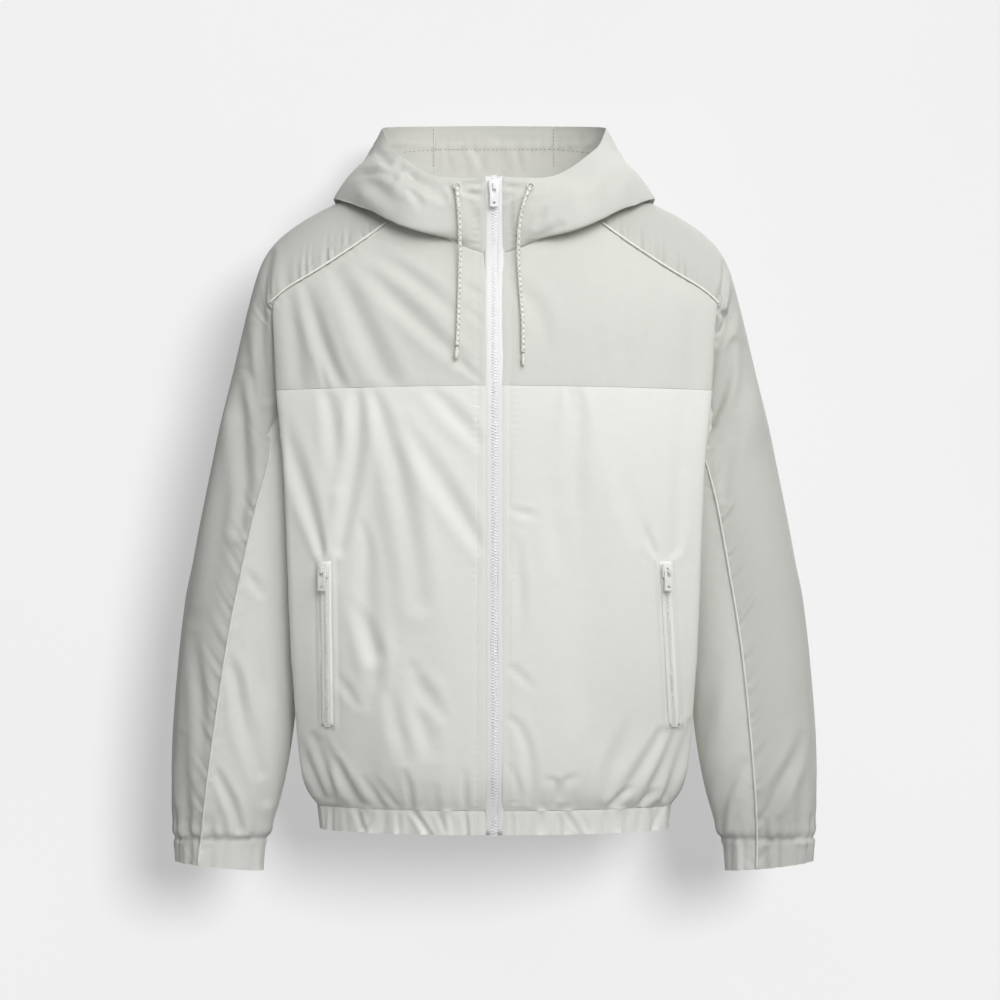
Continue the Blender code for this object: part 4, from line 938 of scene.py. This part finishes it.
def bevelled_copy(node, body, material):
    """A moulded piece on the form of its solid, with its edges eased."""
    mesh = bmesh.new()
    mesh.from_mesh(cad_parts[node].data)
    bmesh.ops.remove_doubles(mesh, verts=mesh.verts, dist=0.01 * MM)
    bmesh.ops.dissolve_limit(mesh, angle_limit=math.radians(2), verts=mesh.verts, edges=mesh.edges)
    piece = place_piece(f"{node}_moulding", mesh, material)
    ease = piece.modifiers.new("ease", "BEVEL")
    ease.width, ease.segments, ease.limit_method, ease.angle_limit = 0.22 * MM, 2, "ANGLE", math.radians(35)
    ease.harden_normals = False
    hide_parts(node)
    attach(piece, body)
    return piece


def tape_core(node, towards, sink, material):
    """The tape behind a row of teeth, on the chain's form, sunk to the level of the tapes beside it."""
    core = place_piece(f"{node}_core", outer_layer(node, towards), material)
    refine(core, 1)
    raise_cloth(core, np.full(len(core.data.vertices), -sink), 1.1)
    ply = core.modifiers.new("ply", "SOLIDIFY")
    ply.thickness, ply.offset = 0.4 * MM, -1.0
    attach(core, "jacket")
    return core


tape = zip_tape("polyester_zip_tape", "#e9e9e9", "#f3f3f4")
acetal = moulded_acetal("moulded_acetal", "#f4f4f4", "#ebebeb")
tapes = {}
for side, out in (("left", -1), ("right", 1)):
    strip = tapes[side] = soft_strip(f"zip_tape_{side}", FRONT, 2, tape)
    for vert in strip.data.vertices:
        if out * vert.co.x > TAPE_EDGE * MM:
            vert.co += Vector((out * TAPE_TUCK[0], TAPE_TUCK[1], 0)) * MM
chain = BVHTree.FromPolygons(
    [vert.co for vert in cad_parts["zip_teeth"].data.vertices],
    [face.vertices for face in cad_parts["zip_teeth"].data.polygons],
)
low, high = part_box("zip_teeth")
line = []
for z in np.arange(low.z + 2 * MM, high.z - 1 * MM, TOOTH_PITCH / 2 * MM):
    place, outward, _, _ = chain.ray_cast(Vector((0.4 * MM, -0.3, z)), Vector((0, 1, 0)))
    line.append((place - outward * 1.55 * MM, Vector((1, 0, 0)), outward))
teeth_on("zip_teeth", line, TOOTH, acetal)
core = tape_core("zip_teeth", FRONT, sink=1.2, material=tape)
bevelled_copy("zip_slider", "jacket", acetal)
bevelled_copy("zip_pull", "zip_pull_tab", acetal)

# Pocket zips: one on each lower front, a narrower tape set into a stitched slit, with moulded
# teeth, a slider and a pull tab in the cloth's own off-white.
POCKET_TOOTH_PITCH = 2.4
POCKET_TOOTH = (3.0, 1.6, 1.15)
POCKET_TAPE_EDGE = 4.6
POCKET_TAPE_TUCK = (0.4, 1.3)
pocket_acetal = moulded_acetal("moulded_acetal_off_white", "#eeeeea", "#e2e2dc")
pocket_weave = zip_tape("polyester_pocket_tape", "#f0f0ec", "#f8f8f5")
for side in ("left", "right"):
    pocket_tape = soft_strip(f"pocket_tape_{side}", FRONT, 2, pocket_weave)
    (top_x, top_z), (bottom_x, bottom_z) = POCKETS[side]
    for vert in pocket_tape.data.vertices:
        middle = top_x + (bottom_x - top_x) * (vert.co.z / MM - top_z) / (bottom_z - top_z)
        aside = vert.co.x / MM - middle
        if abs(aside) > POCKET_TAPE_EDGE:
            vert.co += Vector((math.copysign(POCKET_TAPE_TUCK[0], aside), POCKET_TAPE_TUCK[1], 0)) * MM
    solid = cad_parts[f"pocket_teeth_{side}"].data
    chain = BVHTree.FromPolygons(
        [vert.co for vert in solid.vertices], [face.vertices for face in solid.polygons])
    corners = np.array([vert.co for vert in solid.vertices])
    lowest, highest = corners[:, 2].min() + 2 * MM, corners[:, 2].max() - 2 * MM
    heights = np.arange(lowest, highest, POCKET_TOOTH_PITCH / 2 * MM)
    lean = np.polyfit(corners[:, 2], corners[:, 0], 2)
    line = []
    for z in heights:
        place, outward, _, _ = chain.ray_cast(Vector((np.polyval(lean, z), -0.3, z)), Vector((0, 1, 0)))
        if place is None:
            continue
        across = Vector((-outward.y, outward.x, 0)).normalized()
        line.append((place - outward * 2.0 * MM, across, outward.normalized()))
    teeth_on(f"pocket_teeth_{side}", line, POCKET_TOOTH, pocket_acetal)
    pocket_core = tape_core(f"pocket_teeth_{side}", FRONT, sink=2.2, material=pocket_weave)
    bevelled_copy(f"pocket_slider_{side}", "jacket", pocket_acetal)
    bevelled_copy(f"pocket_pull_{side}", f"pocket_pull_{side}_tab", pocket_acetal)

# Topstitching: a lockstitch in white polyester thread along each side of the front zip and around
# each pocket zip, with a bar tack across the pocket's lower end, and one in grey thread inside the
# hood, along its casing and its two seams.
STITCH = 3.0


def sewing_thread(name, face, shade):
    """Spun polyester thread. It gives small clear dashes, with a twist that is drawn coarse."""
    made, tree, output = new_material(name)
    place = add_node(tree, "ShaderNodeTexCoord").outputs["Object"]
    twist = add_node(tree, "ShaderNodeTexWave", {
        "Vector": place, "Scale": 2 * math.pi / 20 / (0.8 * MM)}, bands_direction="DIAGONAL")
    colour = add_node(tree, "ShaderNodeMix", {
        0: twist.outputs["Fac"], 6: linear(shade), 7: linear(face)}, data_type="RGBA")
    shader = add_node(tree, "ShaderNodeBsdfPrincipled", {
        "Base Color": colour.outputs[2], "Roughness": 0.55, "IOR": 1.5})
    tree.links.new(shader.outputs[0], output.inputs["Surface"])
    return made


def cloth_surface(nodes):
    """The creased surface of some panels, to lay stitches on."""
    places, faces = [], []
    for node in nodes:
        data = shell_pieces[node].data
        start = len(places)
        places += [vert.co for vert in data.vertices]
        faces += [[start + number for number in face.vertices] for face in data.polygons]
    return BVHTree.FromPolygons(places, faces)


def stitch_row(mesh, surface, start, end, pitch, length, radius):
    """Dashes of thread on the side of the cloth that is seen, along a straight line of (x, z)."""
    start, end = np.array(start, float), np.array(end, float)
    count = int(np.linalg.norm(end - start) / pitch)
    for number in range(count):
        ends = []
        for step in (-0.5, 0.5):
            x, z = start + (end - start) * (number + 0.5 + step * length / pitch) / count
            place, normal, _, _ = surface.ray_cast(Vector((x * MM, -0.4, z * MM)), Vector((0, 1, 0)))
            ends.append(None if place is None else place + normal * (0.15 if normal.y < 0 else -0.85) * MM)
        if None in ends:
            continue
        run = ends[1] - ends[0]
        matrix = Matrix.Translation((ends[0] + ends[1]) / 2) @ run.to_track_quat("Z", "Y").to_matrix().to_4x4()
        stretch = Matrix.Diagonal((radius * MM, radius * MM, run.length / 2, 1))
        bmesh.ops.create_uvsphere(mesh, u_segments=6, v_segments=4, radius=1, matrix=matrix @ stretch)


thread = sewing_thread("polyester_thread_white", "#ebebe6", "#dcddd7")
grey_thread = sewing_thread("polyester_thread_grey", "#a6a7a0", "#949590")
fronts = cloth_surface((
    "front_yoke_left", "front_lower_left", "front_yoke_right", "front_lower_right",
    "hem_band_left", "hem_band_right", "hood_left", "hood_right"))
rows = bmesh.new()
for x in STITCH_LINES.values():
    stitch_row(rows, fronts, (x, 30), (x, -634), pitch=STITCH + 0.6, length=STITCH, radius=0.32)
for top, bottom in POCKETS.values():
    for shift in (-9.6, 9.6):
        start, end = (top[0] + shift, top[1] + 1), (bottom[0] + shift, bottom[1] - 3)
        stitch_row(rows, fronts, start, end, pitch=STITCH, length=2.4, radius=0.3)
    for drop in (-2.0, -3.2):
        start, end = (bottom[0] - 7, bottom[1] + drop), (bottom[0] + 7, bottom[1] + drop)
        stitch_row(rows, fronts, start, end, pitch=1.2, length=1.1, radius=0.3)
hood_inside = cloth_surface(("hood_left", "hood_centre", "hood_right"))
inside_rows = bmesh.new()
for start, end in (((-98, 76), (-60, 80)), ((-60, 80), (66, 80)), ((66, 80), (102, 75))):
    stitch_row(inside_rows, hood_inside, start, end, pitch=4.6, length=2.6, radius=0.35)
for top, bottom in (((-65, 101), (-66, 62)), ((63, 101), (64, 62))):
    stitch_row(inside_rows, hood_inside, top, bottom, pitch=3.4, length=2.8, radius=0.35)
for name, mesh, yarn, node in (
    ("topstitching", rows, thread, "front_lower_left"),
    ("hood_stitching", inside_rows, grey_thread, "hood_centre"),
):
    stitching = place_piece(name, mesh, yarn)
    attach(stitching, "jacket")

# Eyelets and drawcords: a painted brass ring set into each side of the collar, and a round
# braided cord that leaves the hood's casing through it and hangs free to a dipped tip.
CORD = 4.2
CORD_ROUTES = {
    "left": ((-38.0, -89.5, 23), (-37.5, -92.5, 14), (-36.0, -93.5, -2), (-35.0, -94.0, -22),
             (-34.7, -93.0, -45), (-35.0, -97.0, -68), (-35.5, -104.0, -92), (-36.2, -111.5, -116),
             (-37.5, -116.5, -140)),
    "right": ((37.0, -89.5, 23), (32.0, -92.5, 12), (27.5, -93.0, -6), (25.0, -93.0, -26), (24.6, -92.5, -46),
              (26.0, -97.5, -70), (27.6, -104.5, -94), (29.2, -112.0, -118), (29.4, -117.5, -147)),
}


def painted_brass():
    """Brass under baked enamel. It gives a small pale ring with a satin gloss."""
    made, tree, output = new_material("enamelled_brass")
    place = add_node(tree, "ShaderNodeTexCoord").outputs["Object"]
    coat = add_node(tree, "ShaderNodeTexNoise", {"Vector": place, "Scale": 1 / (2 * MM), "Detail": 2.0})
    colour = add_node(tree, "ShaderNodeMix", {
        0: coat.outputs["Fac"], 6: linear("#d9dad5"), 7: linear("#c6c7c1")}, data_type="RGBA")
    shader = add_node(tree, "ShaderNodeBsdfPrincipled", {
        "Base Color": colour.outputs[2], "Roughness": 0.35, "IOR": 1.5, "Coat Weight": 0.3})
    tree.links.new(shader.outputs[0], output.inputs["Surface"])
    return made


def braided_yarn():
    """Round polyester braid in white with grey yarns. It gives slanting flecks along the cord.
    Each yarn is 0.7 mm wide, and the flecks are drawn at about 4 mm so that they show."""
    made, tree, output = new_material("polyester_braid")
    lay = add_node(tree, "ShaderNodeUVMap", uv_map="cut").outputs["UV"]
    right = add_node(tree, "ShaderNodeMapping", {"Vector": lay, "Rotation": (0, 0, math.radians(38))})
    left = add_node(tree, "ShaderNodeMapping", {"Vector": lay, "Rotation": (0, 0, math.radians(-38))})
    scale = 2 * math.pi / 20 / (4.4 * MM)
    yarns = [
        add_node(tree, "ShaderNodeTexWave", {
            "Vector": way.outputs[0], "Scale": scale, "Distortion": 0.8}, bands_direction="X")
        for way in (right, left)
    ]
    cross = add_node(tree, "ShaderNodeMath", {
        0: yarns[0].outputs["Fac"], 1: yarns[1].outputs["Fac"]}, operation="MULTIPLY")
    speck = add_node(tree, "ShaderNodeTexNoise", {"Vector": lay, "Scale": 1 / (3 * MM), "Detail": 1.0})
    fleck = add_node(tree, "ShaderNodeMath", {
        0: cross.outputs[0], 1: 0.45, 2: speck.outputs["Fac"]}, operation="MULTIPLY_ADD")
    edge = add_node(tree, "ShaderNodeMapRange", {
        "Value": fleck.outputs[0], "From Min": 0.55, "From Max": 0.8})
    colour = add_node(tree, "ShaderNodeMix", {
        0: edge.outputs[0], 6: linear("#e8e8e1"), 7: linear("#b9b9b0")}, data_type="RGBA")
    relief = add_node(tree, "ShaderNodeBump", {
        "Height": cross.outputs[0], "Strength": 0.6, "Distance": 0.3 * MM})
    shader = add_node(tree, "ShaderNodeBsdfPrincipled", {
        "Base Color": colour.outputs[2], "Roughness": 0.75, "IOR": 1.5, "Sheen Weight": 0.2,
        "Normal": relief.outputs["Normal"]})
    tree.links.new(shader.outputs[0], output.inputs["Surface"])
    return made


def smooth_route(points, count):
    """A smooth curve through a route's points that never overshoots them, as the solid's."""
    values = np.array(points, float)
    steps = np.diff(values, axis=0)
    product = steps[:-1] * steps[1:]
    total = np.where(product > 0, steps[:-1] + steps[1:], 1.0)
    slopes = np.vstack([steps[:1], np.where(product > 0, 2 * product / total, 0.0), steps[-1:]])
    route = []
    for position in np.linspace(0, len(values) - 1, count):
        row = min(int(position), len(values) - 2)
        t = position - row
        start = values[row] * (1 + 2 * t) + slopes[row] * t
        end = values[row + 1] * (3 - 2 * t) + slopes[row + 1] * (t - 1)
        route.append(start * (1 - t) ** 2 + end * t**2)
    return np.array(route)


def braided_cord(name, route, material):
    """A tube along a route, from a flat grid that is rolled up, with a braid's slanting ribs."""
    rings, sides, radius = len(route), 12, CORD / 2
    mesh = bmesh.new()
    bmesh.ops.create_grid(mesh, x_segments=rings - 1, y_segments=sides, size=1)
    lay = mesh.loops.layers.uv.new("cut")
    tangents = np.gradient(route, axis=0)
    tangents /= np.linalg.norm(tangents, axis=1)[:, None]
    lengths = np.concatenate([[0], np.cumsum(np.linalg.norm(np.diff(route, axis=0), axis=1))])
    for face in mesh.faces:
        for corner in face.loops:
            ring = round((corner.vert.co.x + 1) / 2 * (rings - 1))
            corner[lay].uv = (lengths[ring] * MM, (corner.vert.co.y + 1) * math.pi * radius * MM)
    for vert in mesh.verts:
        ring = round((vert.co.x + 1) / 2 * (rings - 1))
        turn = (vert.co.y + 1) * math.pi
        ahead = Vector(tangents[ring])
        across = ahead.cross(Vector((0, 1, 0))).normalized()
        twist = 2 * math.pi * lengths[ring] / 9
        rib = 0.5 + 0.5 * math.sin(4 * turn + twist) * math.sin(4 * turn - twist)
        reach = radius * (0.93 + 0.07 * rib)
        spoke = across * math.cos(turn) + across.cross(ahead) * math.sin(turn)
        vert.co = (Vector(route[ring]) + spoke * reach) * MM
    bmesh.ops.remove_doubles(mesh, verts=mesh.verts, dist=0.01 * MM)
    bmesh.ops.holes_fill(mesh, edges=[edge for edge in mesh.edges if edge.is_boundary], sides=0)
    bmesh.ops.recalc_face_normals(mesh, faces=mesh.faces)
    return place_piece(name, mesh, material)


brass, braid = painted_brass(), braided_yarn()
dipped = moulded_acetal("dipped_cord_tip", "#e4e4de", "#d6d6cf")
for side, points in CORD_ROUTES.items():
    rounded_copy(f"eyelet_{side}", 1, brass)
    tip = rounded_copy(f"cord_tip_{side}", 2, dipped)
    cord = braided_cord(f"drawcord_{side}", smooth_route(points, 170), braid)
    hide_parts(f"cord_{side}")
    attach(cord, "jacket")

# Studio: a pale floor and a pale wall close behind the jacket, which glow evenly with a painted light in
# their surface, and with a light of their own that casts its shadow on them. The jacket has a soft key light,
# a back light and two soft boxes, each kept to the pieces that it is meant for, and the camera stands at chest
# height.
def painted_board():
    """Matt emulsion on board that also glows evenly, a painted light in its own surface. It gives an even
    pale grey; seen from behind, it is left out.
    """
    made, tree, output = new_material("glowing_matt_emulsion")
    place = add_node(tree, "ShaderNodeTexCoord").outputs["Object"]
    roller = add_node(tree, "ShaderNodeTexNoise", {"Vector": place, "Scale": 1 / (300 * MM), "Detail": 2.0})
    colour = add_node(tree, "ShaderNodeMix", {
        0: roller.outputs["Fac"], 6: linear("#9c9c9c"), 7: linear("#999999")}, data_type="RGBA")
    # The emission is a painted glow: the board lights itself evenly, though it is no lamp.
    board = add_node(tree, "ShaderNodeBsdfPrincipled", {
        "Base Color": colour.outputs[2], "Roughness": 0.9, "Specular IOR Level": 0.0,
        "Emission Color": linear("#ffffff"), "Emission Strength": 0.42})
    through = add_node(tree, "ShaderNodeBsdfTransparent")
    rear = add_node(tree, "ShaderNodeNewGeometry").outputs["Backfacing"]
    seen = add_node(tree, "ShaderNodeMixShader", {0: rear, 1: board.outputs[0], 2: through.outputs[0]})
    tree.links.new(seen.outputs[0], output.inputs["Surface"])
    return made


def stage_board(name, matrix, material):
    """A flat board of the studio, 8 m wide and long."""
    mesh = bmesh.new()
    bmesh.ops.create_grid(mesh, x_segments=1, y_segments=1, size=1, matrix=matrix)
    board = place_piece(name, mesh, material)
    board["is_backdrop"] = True
    return board


# emulsion carries the boards' painted glow as well as their paint.
emulsion = painted_board()
floor = stage_board("floor", Matrix.Translation((0, 0, -0.95)) @ Matrix.Diagonal((4, 4, 1, 1)), emulsion)
upright = Matrix.Rotation(math.radians(90), 4, "X") @ Matrix.Diagonal((4, 4, 1, 1))
wall = stage_board("wall", Matrix.Translation((0, 0.178, 3.05)) @ upright, emulsion)
for board in (floor, wall):
    board.visible_shadow = board.visible_diffuse = board.visible_glossy = False


def light_only(lamp, pieces):
    """Keeps a lamp to some pieces, so that it lights nothing else."""
    lit = bpy.data.collections.new(f"lit_by_{lamp.name}")
    for piece in pieces:
        lit.objects.link(piece)
    lamp.light_linking.receiver_collection = lit


def soft_light(name, azimuth, elevation, spread, strength, pieces):
    """A far, wide light from a direction, in degrees from the camera's side of the jacket."""
    data = bpy.data.lights.new(name, "SUN")
    data.angle, data.energy = math.radians(spread), strength
    lamp = bpy.data.objects.new(name, data)
    bpy.context.scene.collection.objects.link(lamp)
    lamp.rotation_euler = (math.radians(90 - elevation), 0, math.radians(azimuth))
    light_only(lamp, pieces)


def soft_box(name, place, energy, pieces):
    """A square soft box, 0.8 m across, that is turned to the chest."""
    data = bpy.data.lights.new(name, "AREA")
    data.size, data.energy = 0.8, energy
    lamp = bpy.data.objects.new(name, data)
    bpy.context.scene.collection.objects.link(lamp)
    lamp.location = place
    lamp.rotation_mode = "QUATERNION"
    lamp.rotation_quaternion = (Vector((0, 0, -0.2)) - lamp.location).to_track_quat("-Z", "Y")
    light_only(lamp, pieces)


jacket = list(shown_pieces())
soft_light("wall_light", azimuth=18, elevation=14, spread=19, strength=3.75, pieces=(floor, wall))
soft_light("key", azimuth=12, elevation=21, spread=28, strength=1.25, pieces=jacket)
soft_light("back_light", azimuth=160, elevation=30, spread=40, strength=1.0, pieces=jacket)
soft_box("top_light", (0.65, -0.95, 0.75), energy=5.2, pieces=jacket)
body = [piece for piece in jacket if "sleeve" not in piece.name]
soft_box("chest_light", (0.15, -1.15, 0.45), energy=2.9, pieces=body)
world = bpy.data.worlds.new("studio")
bpy.context.scene.world = world
world.use_nodes = True
sky = world.node_tree
aim = add_node(sky, "ShaderNodeSeparateXYZ", {0: add_node(sky, "ShaderNodeTexCoord").outputs["Generated"]})
height = add_node(sky, "ShaderNodeMapRange", {
    "Value": aim.outputs["Z"], "From Min": -0.5, "From Max": 0.7, "To Min": 0.2, "To Max": 0.46})
sideways = add_node(sky, "ShaderNodeMapRange", {
    "Value": aim.outputs["X"], "From Min": -1.0, "From Max": 1.0, "To Min": 0.8, "To Max": 1.15})
glow = add_node(sky, "ShaderNodeMath", {0: height.outputs[0], 1: sideways.outputs[0]}, operation="MULTIPLY")
sky.links.new(glow.outputs[0], sky.nodes["Background"].inputs["Strength"])
sky.nodes["Background"].inputs["Color"].default_value = linear("#fafafb")

CAMERA_DISTANCE = 4.2
VIEW_WIDTH = 1.04
scene = bpy.context.scene
scene.view_settings.view_transform = "Standard"
lens = bpy.data.cameras.new("camera")
lens.sensor_width, lens.lens, lens.clip_end = 36, 36 * CAMERA_DISTANCE / VIEW_WIDTH, 50
camera = bpy.data.objects.new("camera", lens)
scene.collection.objects.link(camera)
camera.location = (0.006, -CAMERA_DISTANCE, CAMERA_HEIGHT * MM)
camera.rotation_euler = (math.radians(90), 0, 0)
scene.camera = camera
